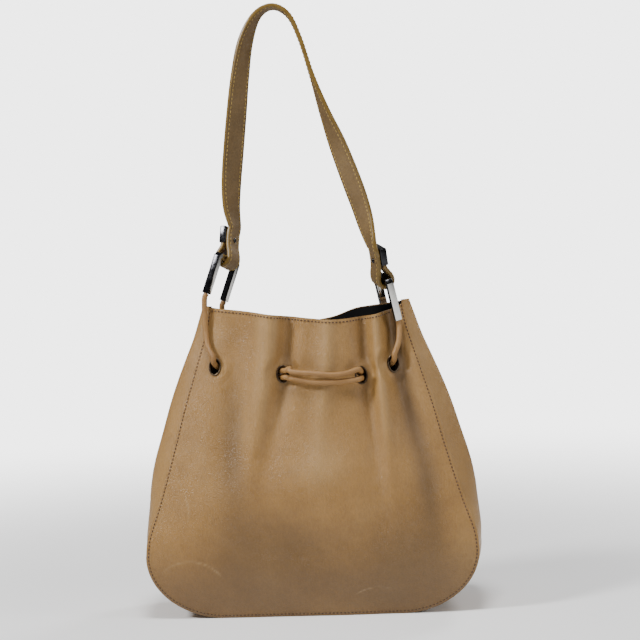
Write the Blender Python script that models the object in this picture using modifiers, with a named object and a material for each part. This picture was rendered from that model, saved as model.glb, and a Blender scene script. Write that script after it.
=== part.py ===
"""Drawstring bucket bag with a shoulder strap, in metres, +Z up, front towards -Y.

Leather front and back panels lap over two tapered side gussets and a base panel, with a lining inside.
Two drawstrings run through eight oval eyelets, and both ends of each hang from a metal link.
The strap passes through both links, and each of its ends is folded back into a metal end cap.
"""
from math import cos, exp, pi, radians, sin, sqrt

import bmesh
import bpy
from mathutils import Matrix, Vector

MM = 0.001

# Body outline, as the seam between a panel and the gusset, seen from the front.
RIM_HEIGHT = 284.5 * MM
CORNER_HEIGHT = 58 * MM
BASE_HALF_WIDTH = 80 * MM
CORNER_RUN = 72 * MM
# (height, value) pairs in millimetres, joined by one smooth curve each.
SEAM_HALF_WIDTH = ((58, 152), (75, 150), (105, 140), (150, 127),
                   (190, 116.5), (228, 105), (265, 94), (285, 91))
HALF_DEPTH = ((0, 46), (50, 50), (100, 44), (150, 34), (200, 23), (240, 15), (265, 11.5), (285, 10.5))
GUSSET_BULGE = ((0, 0), (30, 4), (67, 6), (110, 15.5), (150, 18.5), (200, 15), (265, 10), (285, 6))
PANEL_BELLY = ((0, 1), (30, 6), (60, 9), (100, 10.5), (150, 9), (200, 12), (240, 15), (285, 15.5))
BELLY_POWER = 2.5
# How far the rim dips below RIM_HEIGHT, as (x, dip) pairs in millimetres.
RIM_DIP = {
    "front": ((-97, 0), (-60, 4.5), (-34, 8.5), (0, 13), (25, 15.5), (50, 14), (76, 9.5), (97, 0)),
    "back": ((-97, 0), (-60, 7), (-34, 12), (0, 17), (25, 14), (45, 7), (60, 4.5), (97, 0.5)),
}
DIP_STARTS = 190 * MM

# Gathered folds: (x at the rim, x where the fold dies out, outward height, half width), millimetres.
FOLDS = {
    "front": ((-32, -58, 6, 13), (-14, -48, -5, 9), (22, 2, 1.5, 9),
              (53, 66, -5, 9), (66, 74, 5, 9.5), (79, 108, -7, 11)),
    "back": ((-50, -60, 5, 13), (-30, -38, -4, 10), (5, 5, 3, 14),
             (36, 42, -3, 12), (70, 84, -15.5, 21), (-78, -90, -4, 13)),
}
FOLD_LOW = 70 * MM
FOLD_HIGH = 235 * MM
# A fold is this many times wider where it dies out than at the rim.
FOLD_SPREAD = 1.7

# Sheet thicknesses and the clearance between touching pieces.
PANEL_THICKNESS = 1.8 * MM
GUSSET_THICKNESS = 1.6 * MM
LINING_THICKNESS = 0.8 * MM
LINING_INSET = 4.2 * MM
LINING_SIDE_INSET = 6.2 * MM
# The lining's floor as a share of its lowest ring, along X and Y.
LINING_FLOOR = (0.88, 0.97)
PANEL_LAP = 1.0 * MM
GUSSET_EDGE_INSET = 2.4 * MM
BOARD_THICKNESS = 1.6 * MM
GAP = 0.3 * MM

# Oval eyelets: (x, z) of each centre in millimetres, by side and place.
EYELETS = {
    "front": {"left": (-84.7, 229), "centre_left": (-22, 220.5),
              "centre_right": (50.2, 217), "right": (80, 226)},
    "back": {"left": (-77, 226), "centre_left": (-30, 219),
             "centre_right": (38, 219), "right": (70.5, 226)},
}
EYELET_HOLE = (4.5 * MM, 6.9 * MM)
EYELET_BARREL = 0.6 * MM
EYELET_FLANGE = 1.7 * MM
EYELET_LIFT = 0.6 * MM
EYELET_HEIGHT = 0.8 * MM
WASHER_INSET = 5.3 * MM
WASHER_HEIGHT = 0.7 * MM
BARREL_END = 6.2 * MM
SEAT_RADIUS = 11 * MM
SEAT_FADE = 20.5 * MM
SEAT_MAX_SLOPE = 0.4

CORD_RADIUS = 2.7 * MM

# Links: an inverted U of square bar, hung by its cross bar inside a loop of the strap.
LINK_BAR = 6.4 * MM
LINK_SPAN = 35 * MM
LINK_LEG = 37 * MM
LINK_CHAMFER = 3.2 * MM
LINK_EDGE = 0.4 * MM
# Middle of the cross bar, its direction towards the front, and the way the legs point.
LINKS = {
    "left": {"at": (-72.6, 5.2, 327.6), "bar": (-0.35, -0.90, 0.24), "leg": (-0.28, 0.0, -0.96)},
    "right": {"at": (73.0, -12.8, 305.0), "bar": (0.34, -0.91, -0.22), "leg": (0.28, 0.0, -0.95)},
}

# Strap: two plies, folded round the bar of each link.
STRAP_WIDTH = 21 * MM
PLY_THICKNESS = 1.5 * MM
PLY_OFFSET = 0.95 * MM
LOOP_RADIUS = 6.7 * MM
LEG_OFFSET = 4.5 * MM
END_OFFSET = 0.9 * MM
END_TOP = 28 * MM
# Strap legs and arch between the two loops: position, and the direction of the front edge.
STRAP_ROUTE = (
    ((-66.6, 7.0, 378), (-0.60, -0.79, 0.08)),
    ((-65.6, 5.0, 400), (-0.76, -0.64, 0)),
    ((-62.6, 3.0, 426), (-0.82, -0.57, 0)),
    ((-58.0, 0.0, 461), (-0.80, -0.60, 0)),
    ((-53.0, -1.0, 498), (-0.68, -0.73, 0)),
    ((-46.5, -1.5, 530), (-0.50, -0.86, 0)),
    ((-35.5, -1.0, 553), (-0.20, -0.98, 0)),
    ((-20.7, 0.0, 561.2), (0, -1, 0)),
    ((-6.0, 0.5, 553), (0.05, -1, 0)),
    ((4.0, 0.5, 531), (0.05, -1, 0)),
    ((14.0, 0.0, 496), (0.10, -1, 0)),
    ((24.5, -1.0, 462), (0.40, -0.92, 0)),
    ((37.0, -4.0, 427), (0.74, -0.67, 0)),
    ((50.0, -9.0, 389), (0.82, -0.57, -0.06)),
    ((57.0, -12.5, 366), (0.70, -0.70, -0.12)),
)

# Metal end caps and studs.
CAP_LENGTH = 16 * MM
CAP_WIDTH = 23 * MM
CAP_DEPTH = 6.3 * MM
CAP_CENTRE = 22.5 * MM
CAP_SLOT = (21.8 * MM, 4.1 * MM)
CAP_WALL = 1.2 * MM
CAP_EDGE = 0.5 * MM
STUD_HEIGHT = 18.5 * MM
STUD_RADIUS = 1.3 * MM
STUD_HEAD = 2.5 * MM
STUD_HOLE = 1.65 * MM

# The strap and both links swing together about this line along X, on the front of the mouth.
SWING_AXIS = (0.0, -32 * MM, 252 * MM)

PANEL_COLUMNS = 24
ROW_HEIGHTS = (284.5, 264, 246, 236, 227, 218, 208, 190, 160, 130, 100, 75)
CORNER_ROWS = 4
GUSSET_COLUMNS = 4
OVAL_SIDES = 14


def smooth_curve(stations, at):
    """Value at a place on the smooth curve through (place, value) pairs, all in the same unit."""
    if at <= stations[0][0]:
        return stations[0][1]
    for index in range(len(stations) - 1):
        (a, value_a), (b, value_b) = stations[index], stations[index + 1]
        if at <= b:
            before = stations[max(index - 1, 0)]
            after = stations[min(index + 2, len(stations) - 1)]
            slope_a = (value_b - before[1]) / (b - before[0]) * (b - a)
            slope_b = (after[1] - value_a) / (after[0] - a) * (b - a)
            t = (at - a) / (b - a)
            return (value_a * (2 * t**3 - 3 * t**2 + 1) + value_b * (3 * t**2 - 2 * t**3)
                    + slope_a * (t**3 - 2 * t**2 + t) + slope_b * (t**3 - t**2))
    return stations[-1][1]


def profile(stations, z):
    """A body dimension at height z, both in metres."""
    return smooth_curve(stations, z / MM) * MM


def smooth_step(low, high, value):
    """0 below low, 1 above high, with an even rise between them."""
    t = min(max((value - low) / (high - low), 0), 1)
    return t * t * (3 - 2 * t)


def seam_half_width(z):
    """Half width of a panel at height z: an elliptic corner, then a tapering side."""
    if z < CORNER_HEIGHT:
        drop = 1 - max(z, 0) / CORNER_HEIGHT
        return BASE_HALF_WIDTH + CORNER_RUN * sqrt(max(1 - drop * drop, 0))
    return profile(SEAM_HALF_WIDTH, z)


def outline(t):
    """Seam point (x, z) and its outward normal: t 0 to 1 down the side, 1 to 2 round the corner."""
    if t <= 1:
        z = RIM_HEIGHT + (CORNER_HEIGHT - RIM_HEIGHT) * t
        step = 1 * MM
        slope = (seam_half_width(z + step) - seam_half_width(max(z - step, CORNER_HEIGHT))) / (2 * step)
        normal = Vector((1, 0, -slope)).normalized()
        return seam_half_width(z), z, normal
    angle = (t - 1) * pi / 2
    x = BASE_HALF_WIDTH + CORNER_RUN * cos(angle)
    z = CORNER_HEIGHT * (1 - sin(angle))
    normal = Vector((cos(angle) / CORNER_RUN, 0, -sin(angle) / CORNER_HEIGHT)).normalized()
    return x, z, normal


def fold_height(side, x, z):
    """How far the gathered folds push the panel outwards."""
    strength = smooth_step(FOLD_LOW, FOLD_HIGH, z)
    total = 0
    for top, bottom, height, half_width in FOLDS[side]:
        centre = (bottom + (top - bottom) * smooth_step(60 * MM, RIM_HEIGHT, z)) * MM
        width = half_width * MM * (FOLD_SPREAD - (FOLD_SPREAD - 1) * strength)
        total += height * MM * strength * exp(-((x - centre) / width) ** 2)
    return total


def free_reach(side, x, z):
    """Distance of a panel's outer face from the middle plane, without the flat seats of the eyelets."""
    across = min(abs(x) / seam_half_width(z), 1)
    belly = profile(PANEL_BELLY, z) * (1 - across ** BELLY_POWER)
    edge_fade = 1 - across ** 8
    return profile(HALF_DEPTH, z) + belly + fold_height(side, x, z) * edge_fade


def find_seats():
    """Flat seat of each eyelet: centre, reach and slopes of the panel there."""
    seats = {}
    step = 6 * MM
    for side, places in EYELETS.items():
        seats[side] = []
        for x, z in places.values():
            x, z = x * MM, z * MM
            slope_x = (free_reach(side, x + step, z) - free_reach(side, x - step, z)) / (2 * step)
            slope_z = (free_reach(side, x, z + step) - free_reach(side, x, z - step)) / (2 * step)
            slope_x = min(max(slope_x, -SEAT_MAX_SLOPE), SEAT_MAX_SLOPE)
            seats[side].append((x, z, free_reach(side, x, z), slope_x, slope_z))
    return seats


SEATS = find_seats()


def panel_reach(side, x, z):
    """Distance of a panel's outer face from the middle plane of the bag."""
    reach = free_reach(side, x, z)
    for seat_x, seat_z, height, slope_x, slope_z in SEATS[side]:
        distance = sqrt((x - seat_x) ** 2 + (z - seat_z) ** 2)
        share = 1 - smooth_step(SEAT_RADIUS, SEAT_FADE, distance)
        flat = height + slope_x * (x - seat_x) + slope_z * (z - seat_z)
        reach += share * (flat - reach)
    return reach


def outward(side):
    """Sign of Y towards the outside of a panel."""
    return -1 if side == "front" else 1


def beside_panel(side, x, z, lift):
    """Point at a distance outside (or, if negative, inside) a panel's outer face."""
    step = 0.5 * MM
    slope_x = (panel_reach(side, x + step, z) - panel_reach(side, x - step, z)) / (2 * step)
    slope_z = (panel_reach(side, x, z + step) - panel_reach(side, x, z - step)) / (2 * step)
    normal = Vector((-slope_x, outward(side), -slope_z)).normalized()
    return Vector((x, outward(side) * panel_reach(side, x, z), z)) + normal * lift, normal


def panel_point(side, u, t, lift=0.0):
    """Point of a panel at u across (-1 to 1) and t down the outline, with the rim's dip."""
    half_width, z, _ = outline(t)
    x = u * half_width
    dip = smooth_curve(RIM_DIP[side], x / MM) * MM
    z -= dip * smooth_step(DIP_STARTS, RIM_HEIGHT, z)
    return beside_panel(side, x, z, lift)[0]


def gusset_point(hand, v, t, inset):
    """Point of a side gusset at v across its depth (-1 to 1) and t down the outline."""
    x, z, normal = outline(t)
    half_depth = profile(HALF_DEPTH, z) - GUSSET_EDGE_INSET
    bulge = profile(GUSSET_BULGE, z) * (1 - v * v)
    point = Vector((x, 0, z)) + normal * (bulge - inset)
    return Vector((hand * point.x, v * half_depth, point.z))


def rows():
    """Outline positions from the rim to the base, closer together at the eyelets."""
    side = [(RIM_HEIGHT - height * MM) / (RIM_HEIGHT - CORNER_HEIGHT) for height in ROW_HEIGHTS]
    return side + [1 + i / CORNER_ROWS for i in range(CORNER_ROWS + 1)]


# ---------------------------------------------------------------- objects, materials, modifiers

def clear_scene():
    for obj in list(bpy.data.objects):
        bpy.data.objects.remove(obj)
    for collection in list(bpy.data.collections):
        bpy.data.collections.remove(collection)


def new_collection(name):
    collection = bpy.data.collections.new(name)
    bpy.context.scene.collection.children.link(collection)
    return collection


def material(name, colour, roughness, metallic=0.0):
    made = bpy.data.materials.new(name)
    made.use_nodes = True
    shader = made.node_tree.nodes["Principled BSDF"]
    shader.inputs["Base Color"].default_value = (*colour, 1)
    shader.inputs["Roughness"].default_value = roughness
    shader.inputs["Metallic"].default_value = metallic
    made.diffuse_color = (*colour, 1)
    return made


def add_object(name, data, collection, finish=None):
    obj = bpy.data.objects.new(name, data)
    collection.objects.link(obj)
    if finish is not None:
        data.materials.append(finish)
    return obj


def mesh_from(name, points, faces):
    data = bpy.data.meshes.new(name)
    data.from_pydata([tuple(p) for p in points], [], faces)
    data.update()
    return data


def grid_mesh(name, point_rows, flip=False):
    """Open sheet through rows of points."""
    width = len(point_rows[0])
    faces = []
    for row in range(len(point_rows) - 1):
        for column in range(width - 1):
            corner = row * width + column
            face = (corner, corner + 1, corner + width + 1, corner + width)
            faces.append(face[::-1] if flip else face)
    return mesh_from(name, [p for row in point_rows for p in row], faces)


def solidify(obj, thickness, offset=-1.0):
    modifier = obj.modifiers.new("thickness", "SOLIDIFY")
    modifier.thickness = thickness
    modifier.offset = offset


def bevel(obj, width, angle=30):
    modifier = obj.modifiers.new("rounded edges", "BEVEL")
    modifier.width = width
    modifier.segments = 1
    modifier.limit_method = "ANGLE"
    modifier.angle_limit = radians(angle)


def subtract(obj, cutter):
    modifier = obj.modifiers.new("cut " + cutter.name, "BOOLEAN")
    modifier.operation = "DIFFERENCE"
    modifier.solver = "EXACT"
    modifier.object = cutter


def axes_matrix(origin, x_axis, y_axis, z_axis):
    turn = Matrix((x_axis, y_axis, z_axis)).transposed().to_4x4()
    return Matrix.Translation(origin) @ turn


def join_to(obj, parent):
    """Parents an object without moving it; the parent is only ever translated."""
    obj.parent = parent
    obj.matrix_parent_inverse = Matrix.Translation(-parent.location)


# ---------------------------------------------------------------- body

def make_panel(side, bag, finish):
    """Front or back panel, from the rim to the base edge."""
    across = [-1 + 2 * i / PANEL_COLUMNS for i in range(PANEL_COLUMNS + 1)]
    sheet = [[panel_point(side, u, t) for u in across] for t in rows()]
    data = grid_mesh(side + "_panel", sheet, flip=side == "front")
    obj = add_object(side + "_panel", data, bag, finish)
    solidify(obj, PANEL_THICKNESS)
    return obj


def make_gusset(name, hand, bag, finish):
    """Tapered side gusset from the rim down round the lower corner."""
    across = [-1 + 2 * i / GUSSET_COLUMNS for i in range(GUSSET_COLUMNS + 1)]
    sheet = []
    for t in rows():
        lap = PANEL_LAP * (1 - smooth_step(1.2, 2, t))
        sheet.append([gusset_point(hand, v, t, lap) for v in across])
    data = grid_mesh(name, sheet, flip=hand > 0)
    obj = add_object(name, data, bag, finish)
    solidify(obj, GUSSET_THICKNESS)
    return obj


def make_slab(name, half_length, half_width, bottom, thickness, bag, finish):
    """Flat rectangular piece of the base."""
    bpy.ops.mesh.primitive_cube_add(size=1)
    obj = bpy.context.object
    obj.name = name
    obj.data.name = name
    size = Matrix.Diagonal((2 * half_length, 2 * half_width, thickness, 1))
    obj.data.transform(Matrix.Translation((0, 0, bottom + thickness / 2)) @ size)
    obj.data.materials.append(finish)
    for collection in list(obj.users_collection):
        collection.objects.unlink(obj)
    bag.objects.link(obj)
    return obj


def make_lining(floor, bag, finish):
    """Lining bag: one open-topped shell just inside the leather."""
    across = [-1 + 2 * i / PANEL_COLUMNS for i in range(1, PANEL_COLUMNS)]
    depth = [-1 + 2 * i / GUSSET_COLUMNS for i in range(1, GUSSET_COLUMNS)]
    levels = rows()[:-1]
    rings = []
    for t in levels:
        ring = [panel_point("front", u, t, -LINING_INSET) for u in across]
        ring += [gusset_point(1, v, t, LINING_SIDE_INSET) for v in depth]
        ring += [panel_point("back", -u, t, -LINING_INSET) for u in across]
        ring += [gusset_point(-1, -v, t, LINING_SIDE_INSET) for v in depth]
        rings.append(ring)
    rings[0] = [p - Vector((0, 0, GAP)) for p in rings[0]]
    last = rings[-1]
    rings.append([Vector((p.x * LINING_FLOOR[0], p.y * LINING_FLOOR[1], floor)) for p in last])
    count = len(last)
    points = [p for ring in rings for p in ring]
    faces = []
    for row in range(len(rings) - 1):
        for column in range(count):
            after = (column + 1) % count
            a, b = row * count + column, row * count + after
            faces.append((a, a + count, b + count, b))
    base = (len(rings) - 1) * count
    faces.append(tuple(base + i for i in reversed(range(count))))
    data = mesh_from("lining", points, faces)
    obj = add_object("lining", data, bag, finish)
    solidify(obj, LINING_THICKNESS)
    return obj


# ---------------------------------------------------------------- eyelets

def oval(half_size, grow, height):
    """Points of one oval ring in the eyelet's own plane."""
    ring = []
    for i in range(OVAL_SIDES):
        angle = 2 * pi * (i + 0.5) / OVAL_SIDES
        across = (half_size[0] + grow) * cos(angle)
        ring.append(Vector((across, (half_size[1] + grow) * sin(angle), height)))
    return ring


def ring_mesh(name, section):
    """Closed oval ring swept round a closed (grow, height) section."""
    points = [p for grow, height in section for p in oval(EYELET_HOLE, grow, height)]
    faces = []
    for row in range(len(section)):
        following = (row + 1) % len(section)
        for i in range(OVAL_SIDES):
            j = (i + 1) % OVAL_SIDES
            a, b = row * OVAL_SIDES, following * OVAL_SIDES
            faces.append((a + i, a + j, b + j, b + i))
    return mesh_from(name, points, faces)


def eyelet_matrix(side, x, z):
    """Frame of an eyelet: its own Z points out of the panel, its Y up the panel."""
    origin, normal = beside_panel(side, x, z, 0)
    up = Vector((0, 0, 1))
    up = (up - normal * up.dot(normal)).normalized()
    return axes_matrix(origin, up.cross(normal), up, normal)


def make_eyelets(bag, cutters, finish):
    """Eight eyelets with their inside washers, and the oval holes that they sit in."""
    top = EYELET_LIFT + EYELET_HEIGHT
    eyelet_data = ring_mesh("eyelet", (
        (0.5 * MM, top), (0, top - 0.5 * MM), (0, -BARREL_END), (EYELET_BARREL, -BARREL_END),
        (EYELET_BARREL, EYELET_LIFT), (EYELET_FLANGE, EYELET_LIFT), (EYELET_FLANGE - 0.4 * MM, top)))
    washer_data = ring_mesh("eyelet_washer", (
        (EYELET_BARREL + GAP, -WASHER_INSET), (EYELET_BARREL + GAP, -WASHER_INSET - WASHER_HEIGHT),
        (EYELET_FLANGE, -WASHER_INSET - WASHER_HEIGHT), (EYELET_FLANGE, -WASHER_INSET)))
    eyelet_data.materials.append(finish)
    washer_data.materials.append(finish)
    holes = []
    for side, places in EYELETS.items():
        for place, (x, z) in places.items():
            frame = eyelet_matrix(side, x * MM, z * MM)
            label = side + "_" + place
            add_object("eyelet_" + label, eyelet_data, bag).matrix_world = frame
            add_object("washer_" + label, washer_data, bag).matrix_world = frame
            hole_data = hole_mesh("hole_" + label)
            hole = add_object("hole_" + label, hole_data, cutters)
            hole.matrix_world = frame
            holes.append((side, hole))
    return holes


def hole_mesh(name):
    """Closed oval plug that cuts the sheets for one eyelet."""
    grow = EYELET_BARREL + GAP
    depth = 9 * MM
    points = oval(EYELET_HOLE, grow, depth) + oval(EYELET_HOLE, grow, -depth)
    count = OVAL_SIDES
    faces = [tuple(range(count)), tuple(reversed(range(count, 2 * count)))]
    for i in range(count):
        j = (i + 1) % count
        faces.append((i, i + count, j + count, j))
    return mesh_from(name, points, faces)


# ---------------------------------------------------------------- links and strap

def link_axes(hand):
    """Bar direction towards the front, and leg direction downwards."""
    bar = Vector(LINKS[hand]["bar"]).normalized()
    leg = Vector(LINKS[hand]["leg"])
    leg = (leg - bar * leg.dot(bar)).normalized()
    return bar, leg


def link_centre(hand):
    return Vector(LINKS[hand]["at"]) * MM


def leg_end(hand, end, below=0.0):
    """Middle of a leg's lower face; end is 1 for the front leg and -1 for the back one."""
    bar, leg = link_axes(hand)
    return link_centre(hand) + bar * (end * LINK_SPAN / 2) + leg * (LINK_LEG + below)


def make_link(hand, bag, finish):
    """Inverted U of square bar with chamfered top corners."""
    outer = LINK_SPAN / 2 + LINK_BAR / 2
    inner = LINK_SPAN / 2 - LINK_BAR / 2
    top = LINK_BAR / 2
    outline_points = (
        (-outer, -LINK_LEG), (-outer, top - LINK_CHAMFER), (-outer + LINK_CHAMFER, top),
        (outer - LINK_CHAMFER, top), (outer, top - LINK_CHAMFER), (outer, -LINK_LEG),
        (inner, -LINK_LEG), (inner, -top), (-inner, -top), (-inner, -LINK_LEG))
    data = bpy.data.curves.new("link_" + hand, "CURVE")
    data.dimensions = "2D"
    data.fill_mode = "BOTH"
    data.extrude = LINK_BAR / 2
    spline = data.splines.new("POLY")
    spline.points.add(len(outline_points) - 1)
    for point, (x, y) in zip(spline.points, outline_points):
        point.co = (x, y, 0, 1)
    spline.use_cyclic_u = True
    obj = add_object("link_" + hand, data, bag, finish)
    bar, leg = link_axes(hand)
    obj.matrix_world = axes_matrix(link_centre(hand), bar, -leg, bar.cross(-leg))
    weld = obj.modifiers.new("weld", "WELD")
    weld.merge_threshold = 0.01 * MM
    bevel(obj, LINK_EDGE)
    return obj


def loop_axes(hand):
    """Width, outward and upward directions of the strap where it goes round a link's bar."""
    bar = link_axes(hand)[0]
    lean = Vector((0.0, 0.0, 1.0)) if hand == "left" else Vector((-0.2, 0.0, 1.0))
    up = (lean - bar * lean.dot(bar)).normalized()
    sideways = bar.cross(up)
    if sideways.x * (-1 if hand == "left" else 1) < 0:
        sideways = -sideways
    return bar, sideways, up


def loop_route(hand):
    """Strap middle line from inside the end cap, under the bar and up to the strap leg."""
    bar, out, up = loop_axes(hand)
    flat = [(END_OFFSET, END_TOP), (END_OFFSET, 20 * MM), (END_OFFSET, 13.5 * MM),
            (END_OFFSET + 1.2 * MM, 10 * MM), (LOOP_RADIUS - 1.2 * MM, 4.5 * MM)]
    for i in range(9):
        angle = pi * i / 8
        flat.append((LOOP_RADIUS * cos(angle), -LOOP_RADIUS * sin(angle)))
    flat += [(-LOOP_RADIUS + 0.3 * MM, 5 * MM), (-LEG_OFFSET - 0.5 * MM, 11 * MM),
             (-LEG_OFFSET, 16.5 * MM), (-LEG_OFFSET, 25 * MM), (-LEG_OFFSET - 0.8 * MM, 33 * MM)]
    return [(link_centre(hand) + out * p + up * q, bar) for p, q in flat]


def spline_through(points):
    """Smooth sampler: f(i, t) between points i and i + 1 (Catmull-Rom)."""
    def at(i, t):
        p1, p2 = points[i], points[i + 1]
        p0 = points[i - 1] if i > 0 else p1 * 2 - p2
        p3 = points[i + 2] if i + 2 < len(points) else p2 * 2 - p1
        return 0.5 * (2 * p1 + (p2 - p0) * t + (2 * p0 - 5 * p1 + 4 * p2 - p3) * t**2
                      + (3 * p1 - p0 - 3 * p2 + p3) * t**3)
    return at


def strap_stations():
    """Middle line and front-edge direction of the whole strap, left end to right end."""
    route = loop_route("left")
    route += [(Vector(at) * MM, Vector(edge)) for at, edge in STRAP_ROUTE]
    route += list(reversed(loop_route("right")))
    places = spline_through([place for place, _ in route])
    edges = spline_through([edge.normalized() for _, edge in route])
    stations = []
    for i in range(len(route) - 1):
        length = (route[i + 1][0] - route[i][0]).length
        steps = max(1, round(length / (15 * MM)))
        stations += [(places(i, k / steps), edges(i, k / steps)) for k in range(steps)]
    stations.append(route[-1])
    frames = []
    for i, (place, edge) in enumerate(stations):
        along = stations[min(i + 1, len(stations) - 1)][0] - stations[max(i - 1, 0)][0]
        along.normalize()
        edge = (edge - along * edge.dot(along)).normalized()
        frames.append((place, along, edge))
    return frames


def make_ply(name, offset, frames, bag, finish):
    """One ply of the strap; a positive offset is on its inner face."""
    sheet = []
    for place, along, edge in frames:
        middle = place + along.cross(edge) * offset
        half = edge * (STRAP_WIDTH / 2)
        sheet.append([middle - half, middle + half])
    obj = add_object(name, grid_mesh(name, sheet), bag, finish)
    solidify(obj, PLY_THICKNESS, offset=0.0)
    return obj


def make_cap(hand, bag, cutters, finish):
    """Metal box over the strap's folded-back end, open at its lower face."""
    bar, out, up = loop_axes(hand)
    centre = link_centre(hand) + out * END_OFFSET + up * CAP_CENTRE
    frame = axes_matrix(centre, bar, up.cross(bar), up)
    bpy.ops.mesh.primitive_cube_add(size=1)
    cap = bpy.context.object
    cap.data.transform(Matrix.Diagonal((CAP_WIDTH, CAP_DEPTH, CAP_LENGTH, 1)))
    bpy.ops.mesh.primitive_cube_add(size=1)
    slot = bpy.context.object
    slot.data.transform(Matrix.Diagonal((*CAP_SLOT, CAP_LENGTH, 1)))
    slot.data.transform(Matrix.Translation((0, 0, -CAP_WALL)))
    for obj, name, home in ((cap, "strap_end_cap_" + hand, bag), (slot, "slot_" + hand, cutters)):
        obj.name = name
        obj.data.name = name
        obj.matrix_world = frame
        for collection in list(obj.users_collection):
            collection.objects.unlink(obj)
        home.objects.link(obj)
    cap.data.materials.append(finish)
    bevel(cap, CAP_EDGE)
    subtract(cap, slot)
    return cap


def turned_mesh(name, half_profile, sides):
    """Closed turned solid about its own Z from (radius, height) pairs that start and end on the axis."""
    points = [Vector((0, 0, half_profile[0][1]))]
    for radius, height in half_profile[1:-1]:
        points += [Vector((radius * cos(2 * pi * i / sides), radius * sin(2 * pi * i / sides), height))
                   for i in range(sides)]
    points.append(Vector((0, 0, half_profile[-1][1])))
    last = len(points) - 1
    ring_count = len(half_profile) - 2
    faces = []
    for i in range(sides):
        j = (i + 1) % sides
        faces.append((0, 1 + i, 1 + j))
        for ring in range(ring_count - 1):
            a, b = 1 + ring * sides, 1 + (ring + 1) * sides
            faces.append((a + i, b + i, b + j, a + j))
        a = 1 + (ring_count - 1) * sides
        faces.append((a + j, a + i, last))
    return mesh_from(name, points, faces)


def make_stud(hand, bag, cutters, finish):
    """Stud whose domed head shows on the strap's inner face and whose shank ends in the cap."""
    bar, out, up = loop_axes(hand)
    face = -LEG_OFFSET - PLY_OFFSET - PLY_THICKNESS / 2
    head_seat = link_centre(hand) + up * STUD_HEIGHT + out * (face - GAP)
    frame = axes_matrix(head_seat, up.cross(-out), up, -out)
    shank = END_OFFSET + CAP_SLOT[1] / 2 + 0.3 * MM - face
    profile_points = ((0, 1.3 * MM), (STUD_HEAD * 0.55, 1.1 * MM), (STUD_HEAD * 0.9, 0.6 * MM),
                      (STUD_HEAD, 0), (STUD_RADIUS, 0), (STUD_RADIUS, -shank), (0, -shank))
    name = "strap_stud_" + hand
    stud = add_object(name, turned_mesh(name, profile_points, 16), bag, finish)
    stud.matrix_world = frame
    bore_profile = ((0, 3 * MM), (STUD_HOLE, 3 * MM), (STUD_HOLE, -shank - GAP), (0, -shank - GAP))
    name = "stud_bore_" + hand
    bore = add_object(name, turned_mesh(name, bore_profile, 16), cutters)
    bore.matrix_world = frame
    return stud, bore


# ---------------------------------------------------------------- drawstrings

def past(side, points):
    """Route points given as (x, z, lift) beside a panel, in millimetres."""
    return [beside_panel(side, x * MM, z * MM, lift * MM)[0] for x, z, lift in points]


# One passage through an eyelet, outside to inside: (share of the way to each side, out of the panel).
PASSAGE_OUT = ((1.9, 5.2), (0.3, 1.2))
PASSAGE_IN = ((0.2, -4.0), (1.2, -8.4), (5.6, -12.6))
OUTER_STRAND = (5.0, 8.8)
INNER_STRAND = (5.6, 7.6)


def through(side, place, height, strand, out_x, in_x, inwards=True):
    """Route points through an eyelet; out_x and in_x are the X signs it comes from and goes to."""
    x, z = EYELETS[side][place]
    frame = eyelet_matrix(side, x * MM, z * MM)
    across = frame.to_3x3().col[0].x
    hand = 1 if across > 0 else -1
    flat = [(out_x * strand[0], 1.45 * height, strand[1])]
    flat += [(out_x * run, height, lift) for run, lift in PASSAGE_OUT]
    flat += [(in_x * run, height, lift) for run, lift in PASSAGE_IN]
    points = [frame @ (Vector((hand * run, up, lift)) * MM) for run, up, lift in flat]
    return points if inwards else points[::-1]


def down_through(side, place, in_x):
    """Route points of a cord that comes down to an outer eyelet from its link, and turns inside."""
    x, z = EYELETS[side][place]
    frame = eyelet_matrix(side, x * MM, z * MM)
    hand = 1 if frame.to_3x3().col[0].x > 0 else -1
    flat = ((0, 8.2, 6.2), (0, 4.4, 4.8), (0, 2.4, 1.2),
            (0.2, 1.0, -4.0), (1.3, 0, -8.4), (5.6, -0.6, -12.6))
    return [frame @ (Vector((hand * in_x * run, up, lift)) * MM) for run, up, lift in flat]


def inside_side(x, z):
    """Route points round the inside of a gusset, from the front to the back, in millimetres."""
    hand = 1 if x > 0 else -1
    return [Vector(((x - hand * 8) * MM, -9 * MM, z * MM)), Vector((x * MM, -3.5 * MM, z * MM)),
            Vector((x * MM, 3.5 * MM, z * MM)), Vector(((x - hand * 8) * MM, 9 * MM, z * MM))]


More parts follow.
